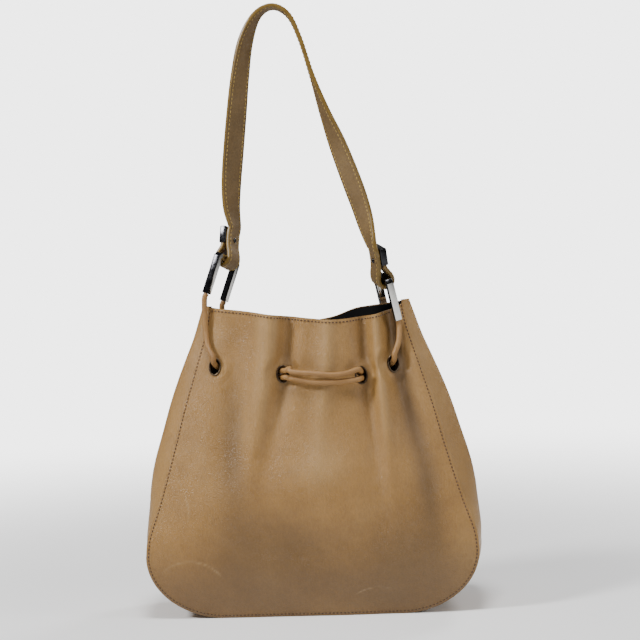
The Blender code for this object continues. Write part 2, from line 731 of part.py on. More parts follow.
def left_drawstring():
    """From the left link's front leg, round the right side of the bag, to its back leg."""
    route = [leg_end("left", 1, GAP), leg_end("left", 1, 6 * MM)]
    route += past("front", ((-91.2, 272, 5.4), (-91.0, 260, 4.6), (-89.0, 247, 5.2)))
    route += down_through("front", "left", 1)
    route += past("front", ((-64, 225.5, -11), (-46, 224.4, -11)))
    route += through("front", "centre_left", 3.1, OUTER_STRAND, 1, -1, inwards=False)
    route += past("front", ((-7, 223.0, 9.9), (9, 219.6, 9.9), (22, 218.2, 9.9), (36, 218.6, 9.6)))
    route += through("front", "centre_right", 3.1, OUTER_STRAND, -1, 1)
    route += [Vector(place) * MM for place in
              ((60.5, -6.2, 222), (70, -4.8, 217), (82, -6, 212), (92, -8.5, 211))]
    route += inside_side(111, 211)
    route += past("back", ((88, 212.5, -11.5), (70, 213.5, -13), (54, 215, -13)))
    route += through("back", "centre_right", -3.1, OUTER_STRAND, -1, 1, inwards=False)
    route += past("back", ((24, 211.8, 10.8), (4, 214, 12), (-14, 219.4, 11.2)))
    route += through("back", "centre_left", 3.1, OUTER_STRAND, 1, -1)
    route += past("back", ((-50, 223.4, -12), (-61, 224.4, -14.5)))
    route += down_through("back", "left", 1)[::-1]
    route += past("back", ((-77.4, 245, 5.0), (-77.8, 258, 4.8), (-78.2, 270, 6.4)))
    route += [leg_end("left", -1, 6 * MM), leg_end("left", -1, GAP)]
    return route


def right_drawstring():
    """From the right link's front leg, round the left side of the bag, to its back leg."""
    route = [leg_end("right", 1, GAP), leg_end("right", 1, 5 * MM)]
    route += past("front", ((87.0, 249, 5.2), (85.0, 242, 6)))
    route += down_through("front", "right", -1)
    route += through("front", "centre_right", -3.1, INNER_STRAND, -1, 1, inwards=False)
    route += past("front", ((36, 212.3, 7.4), (22, 211.6, 7.4), (8, 211.8, 7.2), (-8, 213.9, 6.8)))
    route += through("front", "centre_left", -3.1, INNER_STRAND, 1, -1)
    route += past("front", ((-44, 216.6, -11), (-64, 216, -11), (-86, 215, -11)))
    route += inside_side(-110.5, 214)
    route += past("back", ((-86, 215, -11.5), (-64, 215.6, -12.5), (-48, 215.6, -12.5)))
    route += through("back", "centre_left", -3.1, INNER_STRAND, 1, -1, inwards=False)
    route += past("back", ((-15, 212.4, 5.4), (4, 211.4, 5.4), (22, 217.4, 5.6)))
    route += through("back", "centre_right", 3.1, INNER_STRAND, -1, 1)
    route += past("back", ((54, 222.6, -13.0),))
    route += down_through("back", "right", -1)[::-1]
    route += past("back", ((71.2, 246, 5.2), (72.6, 258, 5.4)))
    route += [leg_end("right", -1, 6 * MM), leg_end("right", -1, GAP)]
    return route


def make_cord(name, route, bag, finish):
    """Round leather cord along the smooth curve through its route."""
    at = spline_through(route)
    places = []
    for i in range(len(route) - 1):
        steps = max(1, round((route[i + 1] - route[i]).length / (9 * MM)))
        places += [at(i, k / steps) for k in range(steps)]
    places.append(route[-1])
    data = bpy.data.curves.new(name, "CURVE")
    data.dimensions = "3D"
    data.bevel_depth = CORD_RADIUS
    data.bevel_resolution = 2
    data.use_fill_caps = True
    data.twist_mode = "MINIMUM"
    spline = data.splines.new("POLY")
    spline.points.add(len(places) - 1)
    for point, place in zip(spline.points, places):
        point.co = (*place, 1)
    return add_object(name, data, bag, finish)


def main():
    clear_scene()
    bag = new_collection("bucket_bag")
    cutters = new_collection("cutters")
    leather = material("tan_leather", (0.42, 0.25, 0.11), 0.42)
    leather_inner = material("taupe_leather", (0.20, 0.13, 0.06), 0.55)
    lining_cloth = material("black_lining", (0.01, 0.01, 0.012), 0.8)
    board = material("base_board", (0.25, 0.2, 0.14), 0.9)
    dark_metal = material("antique_metal", (0.10, 0.08, 0.06), 0.35, 1.0)
    bright_metal = material("gunmetal_chrome", (0.55, 0.55, 0.55), 0.12, 1.0)
    black_metal = material("black_metal", (0.03, 0.03, 0.035), 0.2, 1.0)

    panels = {side: make_panel(side, bag, leather) for side in ("front", "back")}
    make_gusset("gusset_left", -1, bag, leather)
    make_gusset("gusset_right", 1, bag, leather)
    base_half_depth = HALF_DEPTH[0][1] * MM - GUSSET_EDGE_INSET
    base_half_length = BASE_HALF_WIDTH - GAP
    make_slab("base_panel", base_half_length, base_half_depth, 0, GUSSET_THICKNESS, bag, leather)
    board_bottom = GUSSET_THICKNESS + GAP
    make_slab("base_board", base_half_length - 4 * MM, base_half_depth - 3 * MM, board_bottom,
              BOARD_THICKNESS, bag, board)
    lining = make_lining(board_bottom + BOARD_THICKNESS + GAP, bag, lining_cloth)
    for side, hole in make_eyelets(bag, cutters, dark_metal):
        subtract(panels[side], hole)
        subtract(lining, hole)

    strap_empty = bpy.data.objects.new("handle_swing", None)
    strap_empty.location = SWING_AXIS
    bag.objects.link(strap_empty)
    frames = strap_stations()
    plies = [make_ply("strap_outer_ply", -PLY_OFFSET, frames, bag, leather),
             make_ply("strap_inner_ply", PLY_OFFSET, frames, bag, leather_inner)]
    for hand in ("left", "right"):
        link_empty = bpy.data.objects.new("link_pivot_" + hand, None)
        link_empty.location = link_centre(hand)
        bag.objects.link(link_empty)
        join_to(link_empty, strap_empty)
        link = make_link(hand, bag, bright_metal)
        link.parent = link_empty
        link.matrix_parent_inverse = Matrix.Translation(-link_centre(hand))
        cap = make_cap(hand, bag, cutters, black_metal)
        stud, bore = make_stud(hand, bag, cutters, bright_metal)
        for piece in (*plies, cap):
            subtract(piece, bore)
        join_to(cap, strap_empty)
        join_to(stud, strap_empty)
    for ply in plies:
        join_to(ply, strap_empty)

    make_cord("drawstring_left", left_drawstring(), bag, leather)
    make_cord("drawstring_right", right_drawstring(), bag, leather)

    for cutter in cutters.objects:
        cutter.hide_render = True
        cutter.display_type = "WIRE"


main()
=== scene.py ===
"""Looks of the drawstring bucket bag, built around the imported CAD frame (metres, +Z up, front -Y)."""
from math import atan2, cos, exp, pi, radians, sin, sqrt

import bmesh
import bpy
from mathutils import Matrix, Vector


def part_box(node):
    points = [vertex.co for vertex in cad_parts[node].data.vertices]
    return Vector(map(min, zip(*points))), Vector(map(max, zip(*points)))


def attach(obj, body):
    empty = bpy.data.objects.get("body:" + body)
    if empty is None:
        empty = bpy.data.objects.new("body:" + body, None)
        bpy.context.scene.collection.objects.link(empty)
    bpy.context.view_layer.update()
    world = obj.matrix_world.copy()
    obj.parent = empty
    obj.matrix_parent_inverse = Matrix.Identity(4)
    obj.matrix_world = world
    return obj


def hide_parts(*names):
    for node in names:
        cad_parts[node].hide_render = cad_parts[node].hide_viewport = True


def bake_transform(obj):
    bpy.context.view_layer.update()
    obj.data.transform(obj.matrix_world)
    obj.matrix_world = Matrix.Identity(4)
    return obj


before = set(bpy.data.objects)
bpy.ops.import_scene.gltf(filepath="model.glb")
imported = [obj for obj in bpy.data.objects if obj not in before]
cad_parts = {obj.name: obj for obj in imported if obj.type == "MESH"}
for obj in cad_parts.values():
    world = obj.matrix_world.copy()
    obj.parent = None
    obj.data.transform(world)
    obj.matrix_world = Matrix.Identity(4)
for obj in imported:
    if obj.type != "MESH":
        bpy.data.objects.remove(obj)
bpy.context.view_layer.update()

MM = 0.001

# ---- design dimensions, as in the CAD

RIM_HEIGHT = 284.5 * MM
CORNER_HEIGHT = 58 * MM
BASE_HALF_WIDTH = 80 * MM
CORNER_RUN = 72 * MM
SEAM_HALF_WIDTH = ((58, 152), (75, 150), (105, 140), (150, 127),
                   (190, 116.5), (228, 105), (265, 94), (285, 91))
HALF_DEPTH = ((0, 46), (50, 50), (100, 44), (150, 34), (200, 23), (240, 15), (265, 11.5), (285, 10.5))
GUSSET_BULGE = ((0, 0), (30, 4), (67, 6), (110, 15.5), (150, 18.5), (200, 15), (265, 10), (285, 6))
PANEL_BELLY = ((0, 1), (30, 6), (60, 9), (100, 10.5), (150, 9), (200, 12), (240, 15), (285, 15.5))
BELLY_POWER = 2.5
RIM_DIP = {
    "front": ((-97, 0), (-60, 4.5), (-34, 8.5), (0, 13), (25, 15.5), (50, 14), (76, 9.5), (97, 0)),
    "back": ((-97, 0), (-60, 7), (-34, 12), (0, 17), (25, 14), (45, 7), (60, 4.5), (97, 0.5)),
}
DIP_STARTS = 190 * MM
# Folds of the CAD panels, which set where the eyelets sit: (x at rim, x below, height, half width).
CAD_FOLDS = {
    "front": ((-32, -58, 6, 13), (-14, -48, -5, 9), (22, 2, 1.5, 9),
              (53, 66, -5, 9), (66, 74, 5, 9.5), (79, 108, -7, 11)),
    "back": ((-50, -60, 5, 13), (-30, -38, -4, 10), (5, 5, 3, 14),
             (36, 42, -3, 12), (70, 84, -15.5, 21), (-78, -90, -4, 13)),
}
FOLD_LOW = 70 * MM
FOLD_HIGH = 235 * MM
FOLD_SPREAD = 1.7
FOLD_FOOT = 60 * MM
# Softer and finer folds of the real leather: (x at rim, x below, height, half width, low end z, high end z).
FINE_FOLDS = {
    "front": ((-34, -60, 2.2, 12, 60, 200), (-14, -50, -2.8, 9, 80, 230), (6, -8, -1.4, 8, 150, 240),
              (22, 4, 2.2, 7, 110, 230), (37, 34, 1.0, 8, 150, 250), (53, 66, -2.8, 7, 50, 200),
              (66, 75, 2.8, 7.5, 40, 190), (79, 114, -4.4, 8, 40, 190), (105, 134, 2.4, 14, 40, 150),
              (-62, -84, -2.0, 14, 60, 220), (-80, -108, 1.6, 12, 60, 180), (10, 20, 1.6, 22, 60, 150)),
    "back": ((-50, -62, 1.2, 10, 80, 250), (-28, -40, -1.4, 8, 100, 250), (12, 20, -1.6, 10, 120, 240),
             (-6, -14, 1.6, 8, 120, 240), (62, 74, -1.0, 9, 80, 240), (80, 100, -2.0, 10, 60, 230),
             (-78, -92, -1.6, 11, 60, 240)),
}
# Soft swellings and hollows of the slumped leather: (x, z, reach across, reach up, height).
SOFT_SPOTS = {
    "front": ((-2, 128, 62, 32, 4.5), (-58, 80, 44, 17, -3.0), (0, 64, 60, 16, -3.0), (58, 84, 24, 22, -3.0),
              (98, 120, 14, 44, 2.0), (-92, 125, 18, 44, 1.8), (-66, 150, 9, 40, -1.6),
              (92, 262, 14, 22, -2.6)),
    "back": ((5, 110, 70, 40, 3.4), (-50, 70, 50, 18, -2.4), (70, 75, 40, 18, -2.0)),
}
# Faint scratches as arcs: (centre x, centre z, radius, start angle, end angle, half width).
SCRATCHES = {
    "front": ((-112, 16, 38, 0.6, 2.4, 0.7), (-165, 96, 54, -0.2, 0.7, 0.6), (60, -14, 40, 1.2, 2.2, 0.5)),
    "back": ((90, 40, 40, 1.2, 2.3, 0.8), (-60, 190, 50, -2.4, -1.5, 0.7)),
}
# Darker and paler patches, partly handled and soiled leather and partly painted shade below the belly and
# painted highlights on it: (x, z, reach across, reach up, strength).
PAINTED_LIGHT_AND_DIRT_PATCHES = {
    "front": ((-66, 145, 18, 62, -0.30), (-44, 76, 62, 34, -0.13), (8, 66, 76, 34, -0.11),
              (90, 78, 38, 50, -0.18), (112, 120, 16, 60, -0.14), (0, 135, 46, 34, 0.12),
              (-75, 262, 30, 26, 0.10), (10, 262, 40, 26, 0.06), (-118, 90, 14, 40, 0.08),
              (96, 215, 14, 50, -0.06)),
    "back": ((-40, 90, 60, 30, -0.18), (60, 120, 40, 50, -0.12), (0, 150, 50, 40, 0.08)),
}
PANEL_THICKNESS = 1.8 * MM
GUSSET_THICKNESS = 1.6 * MM
LINING_THICKNESS = 0.7 * MM
LINING_INSET = 2.5 * MM
LINING_SIDE_INSET = 5.2 * MM
PANEL_LAP = 1.0 * MM
RIM_REACH = 0.965
RIM_STITCH_INSET = 2.7 * MM
SEAM_STITCH_INSET = 2.3 * MM
STRAP_STITCH_INSET = 2.7 * MM
GUSSET_EDGE_INSET = 2.2 * MM

EYELETS = {
    "front": {"left": (-84.7, 229), "centre_left": (-22, 220.5),
              "centre_right": (50.2, 217), "right": (80, 226)},
    "back": {"left": (-77, 226), "centre_left": (-30, 219), "centre_right": (38, 219), "right": (70.5, 226)},
}
EYELET_HOLE = (4.5 * MM, 6.9 * MM)
EYELET_BARREL = 0.6 * MM
EYELET_FLANGE = 1.7 * MM
EYELET_LIFT = 0.6 * MM
EYELET_HEIGHT = 0.8 * MM
WASHER_INSET = 5.3 * MM
BARREL_END = 6.2 * MM
HOLE_DEPTH = 9 * MM
SEAT_MAX_SLOPE = 0.4
SEAT_RADIUS = 6.8 * MM
SEAT_FADE = 18 * MM
SEAT_PROUD = 0.25 * MM

CORD_RADIUS = 2.55 * MM
LINK_BAR = 6.4 * MM
LINK_SPAN = 35 * MM
LINK_LEG = 37 * MM
LINKS = {
    "left": {"at": (-72.6, 5.2, 327.6), "bar": (-0.35, -0.90, 0.24), "leg": (-0.28, 0.0, -0.96)},
    "right": {"at": (73.0, -12.8, 305.0), "bar": (0.34, -0.91, -0.22), "leg": (0.28, 0.0, -0.95)},
}
GAP = 0.3 * MM
STRAP_WIDTH = 21 * MM
PLY_THICKNESS = 1.5 * MM
PLY_OFFSET = 0.95 * MM
LOOP_RADIUS = 6.7 * MM
LEG_OFFSET = 4.5 * MM
END_OFFSET = 0.9 * MM
END_TOP = 28 * MM
STRAP_ROUTE = (
    ((-66.6, 7.0, 378), (-0.60, -0.79, 0.08)),
    ((-65.6, 5.0, 400), (-0.76, -0.64, 0)),
    ((-62.6, 3.0, 426), (-0.82, -0.57, 0)),
    ((-58.0, 0.0, 461), (-0.80, -0.60, 0)),
    ((-53.0, -1.0, 498), (-0.68, -0.73, 0)),
    ((-46.5, -1.5, 530), (-0.50, -0.86, 0)),
    ((-35.5, -1.0, 553), (-0.20, -0.98, 0)),
    ((-20.7, 0.0, 561.2), (0, -1, 0)),
    ((-6.0, 0.5, 553), (0.05, -1, 0)),
    ((4.0, 0.5, 531), (0.05, -1, 0)),
    ((14.0, 0.0, 496), (0.10, -1, 0)),
    ((24.5, -1.0, 462), (0.40, -0.92, 0)),
    ((37.0, -4.0, 427), (0.74, -0.67, 0)),
    ((50.0, -9.0, 389), (0.82, -0.57, -0.06)),
    ((57.0, -12.5, 366), (0.70, -0.70, -0.12)),
)
CAP_LENGTH = 16 * MM
CAP_WIDTH = 23 * MM
CAP_DEPTH = 6.3 * MM
CAP_CENTRE = 22.5 * MM
STUD_HEIGHT = 18.5 * MM


# ---- curves and the body's surface

def smooth_curve(stations, at):
    """Value at a place on the smooth curve through (place, value) pairs."""
    if at <= stations[0][0]:
        return stations[0][1]
    for index in range(len(stations) - 1):
        (a, value_a), (b, value_b) = stations[index], stations[index + 1]
        if at <= b:
            before = stations[max(index - 1, 0)]
            after = stations[min(index + 2, len(stations) - 1)]
            slope_a = (value_b - before[1]) / (b - before[0]) * (b - a)
            slope_b = (after[1] - value_a) / (after[0] - a) * (b - a)
            t = (at - a) / (b - a)
            return (value_a * (2 * t**3 - 3 * t**2 + 1) + value_b * (3 * t**2 - 2 * t**3)
                    + slope_a * (t**3 - 2 * t**2 + t) + slope_b * (t**3 - t**2))
    return stations[-1][1]


def profile(stations, z):
    return smooth_curve(stations, z / MM) * MM


def smooth_step(low, high, value):
    t = min(max((value - low) / (high - low), 0), 1)
    return t * t * (3 - 2 * t)


def seam_half_width(z):
    if z < CORNER_HEIGHT:
        drop = 1 - max(z, 0) / CORNER_HEIGHT
        return BASE_HALF_WIDTH + CORNER_RUN * sqrt(max(1 - drop * drop, 0))
    return profile(SEAM_HALF_WIDTH, z)


def outline(t):
    """Seam point (x, z) and outward normal: t 0 to 1 down the side, 1 to 2 round the corner."""
    if t <= 1:
        z = RIM_HEIGHT + (CORNER_HEIGHT - RIM_HEIGHT) * t
        step = 1 * MM
        slope = (seam_half_width(z + step) - seam_half_width(max(z - step, CORNER_HEIGHT))) / (2 * step)
        return seam_half_width(z), z, Vector((1, 0, -slope)).normalized()
    angle = (t - 1) * pi / 2
    x = BASE_HALF_WIDTH + CORNER_RUN * cos(angle)
    z = CORNER_HEIGHT * (1 - sin(angle))
    return x, z, Vector((cos(angle) / CORNER_RUN, 0, -sin(angle) / CORNER_HEIGHT)).normalized()


def fold_centre(top, bottom, z):
    """X of a fold at a height, between its places at the rim and below."""
    return (bottom + (top - bottom) * smooth_step(FOLD_FOOT, RIM_HEIGHT, z)) * MM


def cad_fold(side, x, z):
    """How far the CAD's large folds lift the panel."""
    strength = smooth_step(FOLD_LOW, FOLD_HIGH, z)
    total = 0
    for top, bottom, height, half_width in CAD_FOLDS[side]:
        centre = fold_centre(top, bottom, z)
        width = half_width * MM * (FOLD_SPREAD - (FOLD_SPREAD - 1) * strength)
        total += height * MM * strength * exp(-((x - centre) / width) ** 2)
    return total


def fine_fold(side, x, z):
    """How far the softer folds and a faint ripple lift the panel."""
    total = 0
    for top, bottom, height, half_width, low, high in FINE_FOLDS[side]:
        centre = fold_centre(top, bottom, z)
        strength = smooth_step(low * MM, high * MM, z)
        total += height * MM * strength * exp(-((x - centre) / (half_width * MM)) ** 2)
    ripple = sin(x * 61 + 3 * sin(z * 23)) * sin(z * 41 + 2 * sin(x * 17 + 1.3))
    return total + 0.5 * MM * ripple


def scratch(side, x, z):
    """Strength of the nearest faint scratch, from its distance to each arc of a circle."""
    strongest = 0
    for centre_x, centre_z, radius, start, end, width in SCRATCHES[side]:
        dx, dz = x / MM - centre_x, z / MM - centre_z
        angle = atan2(dz, dx)
        if start <= angle <= end:
            fade = smooth_step(start, start + 0.25, angle) * (1 - smooth_step(end - 0.25, end, angle))
            strongest = max(strongest, fade * exp(-((sqrt(dx * dx + dz * dz) - radius) / width) ** 2))
    return strongest


def spot_sum(spots, x, z):
    """Sum of smooth round spots at a place."""
    return sum(value * exp(-((x / MM - at_x) / reach_x) ** 2 - ((z / MM - at_z) / reach_z) ** 2)
               for at_x, at_z, reach_x, reach_z, value in spots)


def painted_light_and_dirt(side, x, z):
    """How much paler or darker the leather is: painted highlights on the fold ridges, painted shade in the
    creases, patches partly of dirt and partly of painted light and shade, and painted shade towards the foot.
    """
    relief = (cad_fold(side, x, z) + fine_fold(side, x, z)) / MM
    # Painted highlights on the fold ridges and painted shade in the creases, plus the patches.
    tone = 0.034 * max(min(relief, 5), -9) + spot_sum(PAINTED_LIGHT_AND_DIRT_PATCHES[side], x, z)
    # Painted shade: darker towards the foot of the bag.
    tone -= 0.30 * (1 - smooth_step(10 * MM, 105 * MM, z))
    return tone


def free_reach(side, x, z, fine):
    """Depth of a panel's outer face before the eyelets press it flat."""
    across = min(abs(x) / seam_half_width(z), 1)
    belly = profile(PANEL_BELLY, z) * (1 - across ** BELLY_POWER)
    fold = cad_fold(side, x, z)
    if fine:
        fold += fine_fold(side, x, z) + spot_sum(SOFT_SPOTS[side], x, z) * MM
    return profile(HALF_DEPTH, z) + belly + fold * (1 - across ** 8)


def slopes(reach, side, x, z, fine, step):
    """Rise of a panel's depth across and up."""
    return ((reach(side, x + step, z, fine) - reach(side, x - step, z, fine)) / (2 * step),
            (reach(side, x, z + step, fine) - reach(side, x, z - step, fine)) / (2 * step))


def find_seat(side, x, z):
    """Place, depth and slopes of the panel under an eyelet."""
    x, z = x * MM, z * MM
    slope_x, slope_z = slopes(free_reach, side, x, z, False, 6 * MM)
    slope_x = min(max(slope_x, -SEAT_MAX_SLOPE), SEAT_MAX_SLOPE)
    return x, z, free_reach(side, x, z, False), slope_x, slope_z


SEATS = {side: {place: find_seat(side, *at) for place, at in places.items()}
         for side, places in EYELETS.items()}


def panel_reach(side, x, z, fine=True):
    """Depth of a panel's outer face, flat round each eyelet."""
    reach = free_reach(side, x, z, fine)
    for seat_x, seat_z, height, slope_x, slope_z in SEATS[side].values():
        distance = sqrt((x - seat_x) ** 2 + (z - seat_z) ** 2)
        if distance < SEAT_FADE:
            share = 1 - smooth_step(SEAT_RADIUS, SEAT_FADE, distance)
            flat = height + slope_x * (x - seat_x) + slope_z * (z - seat_z) + SEAT_PROUD
            reach += share * (flat - reach)
    return reach


def outward(side):
    return -1 if side == "front" else 1


def beside_panel(side, x, z, lift, fine=True):
    """Point at a distance outside (or, if negative, inside) a panel's outer face, and the normal."""
    slope_x, slope_z = slopes(panel_reach, side, x, z, fine, 0.5 * MM)
    normal = Vector((-slope_x, outward(side), -slope_z)).normalized()
    return Vector((x, outward(side) * panel_reach(side, x, z, fine), z)) + normal * lift, normal


def panel_place(side, u, t):
    """Position (x, z) on a panel at u across (-1 to 1) and t down the outline, with the rim's dip."""
    half_width, z, _ = outline(t)
    x = u * half_width
    dip = smooth_curve(RIM_DIP[side], x / MM) * MM
    return x, z - dip * smooth_step(DIP_STARTS, RIM_HEIGHT, z)


def panel_point(side, u, t, lift=0.0):
    """Point on a panel, or that far outside it."""
    x, z = panel_place(side, u, t)
    if lift == 0:
        return Vector((x, outward(side) * panel_reach(side, x, z), z))
    return beside_panel(side, x, z, lift)[0]


def gusset_point(hand, v, t, inset):
    """Point on a gusset at v across (-1 front to 1 back) and t down the outline."""
    x, z, normal = outline(t)
    half_depth = profile(HALF_DEPTH, z) - GUSSET_EDGE_INSET
    bulge = profile(GUSSET_BULGE, z) * (1 - v * v)
    ripple = 0.6 * MM * sin(z * 70 + 4 * v) * (1 - v * v) * smooth_step(60 * MM, 150 * MM, z)
    point = Vector((x, 0, z)) + normal * (bulge + ripple - inset)
    return Vector((hand * point.x, v * half_depth, point.z))


# ---- mesh helpers

def add_mesh(name, points, faces, *materials):
    data = bpy.data.meshes.new(name)
    data.from_pydata([tuple(p) for p in points], [], faces)
    data.update()
    for finish in materials:
        data.materials.append(finish)
    data.shade_smooth()
    obj = bpy.data.objects.new(name, data)
    bpy.context.scene.collection.objects.link(obj)
    return obj


def register(obj, body, slot, node=None):
    """Put a piece on the body it rides on and hide the CAD node it stands for; slot is not used."""
    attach(obj, body)
    if node:
        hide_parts(node)


def spread(count, reach=1):
    """Even places from minus to plus reach."""
    return [reach * (-1 + 2 * i / count) for i in range(count + 1)]


def round_ring(centre, side, up, radius, count):
    """Ring of points in the plane of two directions."""
    turns = [2 * pi * i / count for i in range(count)]
    return [centre + (side * cos(turn) + up * sin(turn)) * radius for turn in turns]


def grid_faces(row_count, width, flip=False, closed=False):
    faces = []
    for row in range(row_count - 1):
        for column in range(width if closed else width - 1):
            after = (column + 1) % width
            a, b = row * width + column, row * width + after
            face = (a, b, b + width, a + width)
            faces.append(face[::-1] if flip else face)
    return faces


def write_tone(obj, name, tone_at):
    layer = obj.data.attributes.new(name, "FLOAT", "POINT")
    for vert in obj.data.vertices:
        layer.data[vert.index].value = tone_at(vert.co)


def apply_modifiers(obj):
    """Put the evaluated mesh in place of the object's mesh and its modifiers."""
    depsgraph = bpy.context.evaluated_depsgraph_get()
    data = bpy.data.meshes.new_from_object(obj.evaluated_get(depsgraph))
    obj.modifiers.clear()
    old = obj.data
    obj.data = data
    bpy.data.meshes.remove(old)


def sharpen(obj, degrees):
    """Keep edges steeper than an angle sharp."""
    obj.data.set_sharp_from_angle(angle=radians(degrees))


def thicken(obj, thickness, rim_material=0):
    """Give a sheet thickness inwards, with the rim in its own material where one is named."""
    modifier = obj.modifiers.new("thickness", "SOLIDIFY")
    modifier.thickness = thickness
    modifier.offset = -1
    modifier.material_offset_rim = rim_material
    apply_modifiers(obj)
    sharpen(obj, 50)


def spline_through(points):
    """Smooth curve through points: at(i, t) is the place a share t past point i."""
    def at(i, t):
        p1, p2 = points[i], points[i + 1]
        p0 = points[i - 1] if i > 0 else p1 * 2 - p2
        p3 = points[i + 2] if i + 2 < len(points) else p2 * 2 - p1
        return 0.5 * (2 * p1 + (p2 - p0) * t + (2 * p0 - 5 * p1 + 4 * p2 - p3) * t**2
                      + (3 * p1 - p0 - 3 * p2 + p3) * t**3)
    return at


def tube_faces(row_count, width):
    """Faces of a tube, then of its first and last end."""
    end = (row_count - 1) * width
    caps = [tuple(range(width))[::-1], tuple(range(end, end + width))]
    return grid_faces(row_count, width, closed=True) + caps


def loft(name, rings, finish):
    """Closed tube through rings of points."""
    faces = tube_faces(len(rings), len(rings[0]))
    obj = add_mesh(name, [p for ring in rings for p in ring], faces, finish)
    fix_normals(obj)
    return obj


def fix_normals(obj):
    mesh = bmesh.new()
    mesh.from_mesh(obj.data)
    bmesh.ops.recalc_face_normals(mesh, faces=mesh.faces)
    mesh.to_mesh(obj.data)
    mesh.free()


# ---- materials

class Nodes:
    """Short helper for building one procedural material."""

    def __init__(self, name):
        self.material = bpy.data.materials.new(name)
        self.material.use_nodes = True
        self.tree = self.material.node_tree
        self.shader = self.tree.nodes["Principled BSDF"]
        self.coordinates = self.add("TexCoord", "Object")

    def fill(self, socket, value):
        """Give a socket a number, a vector, a colour or another node's output."""
        if isinstance(value, (int, float)):
            socket.default_value = value
        elif isinstance(value, tuple):
            socket.default_value = (*value, 1) if socket.type == "RGBA" else value
        else:
            self.tree.links.new(value, socket)

    def add(self, kind, output, settings=None, **inputs):
        """Add a node, fill its inputs by name and return one of its outputs."""
        node = self.tree.nodes.new("ShaderNode" + kind)
        for name, value in (settings or {}).items():
            setattr(node, name, value)
        for name, value in inputs.items():
            self.fill(node.inputs[name.replace("_", " ")], value)
        return node.outputs[output]

    def mapped(self, scale=(1, 1, 1), location=(0, 0, 0)):
        return self.add("Mapping", "Vector", Scale=scale, Location=location, Vector=self.coordinates)

    def noise(self, scale, detail=4, roughness=0.5, vector=None, distortion=0.0):
        return self.add("TexNoise", "Fac", Scale=scale, Detail=detail, Roughness=roughness,
                        Distortion=distortion, Vector=vector or self.coordinates)

    def voronoi(self, scale, feature="F1", vector=None):
        return self.add("TexVoronoi", "Distance", {"feature": feature}, Scale=scale,
                        Vector=vector or self.coordinates)

    def ramp(self, value, *stops):
        """Colours along a value, from stops of (value, colour)."""
        node = self.tree.nodes.new("ShaderNodeValToRGB")
        while len(node.color_ramp.elements) < len(stops):
            node.color_ramp.elements.new(0.5)
        for element, (position, colour) in zip(node.color_ramp.elements, stops):
            element.position = position
            element.color = (*colour, 1)
        self.fill(node.inputs["Fac"], value)
        return node.outputs["Color"]

    def tones(self, scale, dark, light, detail=4, roughness=0.5, low=0.3, high=0.7):
        """Noise between two colours."""
        return self.ramp(self.noise(scale, detail, roughness), (low, dark), (high, light))

    def span(self, value, low, high, to_low=0.0, to_high=1.0):
        """Smooth step from one range of values to another."""
        return self.add("MapRange", "Result", {"interpolation_type": "SMOOTHSTEP"}, Value=value,
                        From_Min=low, From_Max=high, To_Min=to_low, To_Max=to_high)

    def times(self, a, b):
        node = self.tree.nodes.new("ShaderNodeMath")
        node.operation = "MULTIPLY"
        self.fill(node.inputs[0], a)
        self.fill(node.inputs[1], b)
        return node.outputs["Value"]

    def mix(self, factor, a, b, blend="MIX"):
        node = self.tree.nodes.new("ShaderNodeMix")
        node.data_type = "RGBA"
        node.blend_type = blend
        for name, value in (("Factor", factor), ("A", a), ("B", b)):
            self.fill(next(s for s in node.inputs if s.name == name and s.enabled), value)
        return next(s for s in node.outputs if s.type == "RGBA")

    def attribute(self, name):
        return self.add("Attribute", "Fac", {"attribute_name": name})

    def bump(self, height, strength, distance, normal=None):
        under = {"Normal": normal} if normal else {}
        return self.add("Bump", "Normal", Strength=strength, Distance=distance, Height=height, **under)

    def finish(self, colour, roughness, normal=None, **plain):
        """Fill the shader's own sockets and return the material."""
        inputs = {"Base Color": colour, "Roughness": roughness, **plain}
        if normal:
            inputs["Normal"] = normal
        for name, value in inputs.items():
            self.fill(self.shader.inputs[name.replace("_", " ")], value)
        return self.material


def grain_normal(m, strength=0.35, cell=1000, crease=240):
    """Pebbled leather grain over faint stretched creases."""
    creases = m.noise(crease, 5, 0.6, m.mapped((1.4, 1.4, 0.35)))
    first = m.bump(creases, strength * 0.8, 0.0006)
    pebbles = m.span(m.voronoi(cell * 0.42, "DISTANCE_TO_EDGE"), 0.0, 0.16)
    second = m.bump(pebbles, strength * 0.7, 0.00035, first)
    pores = m.span(m.voronoi(cell, "DISTANCE_TO_EDGE"), 0.0, 0.12)
    return m.bump(pores, strength, 0.00015, second)


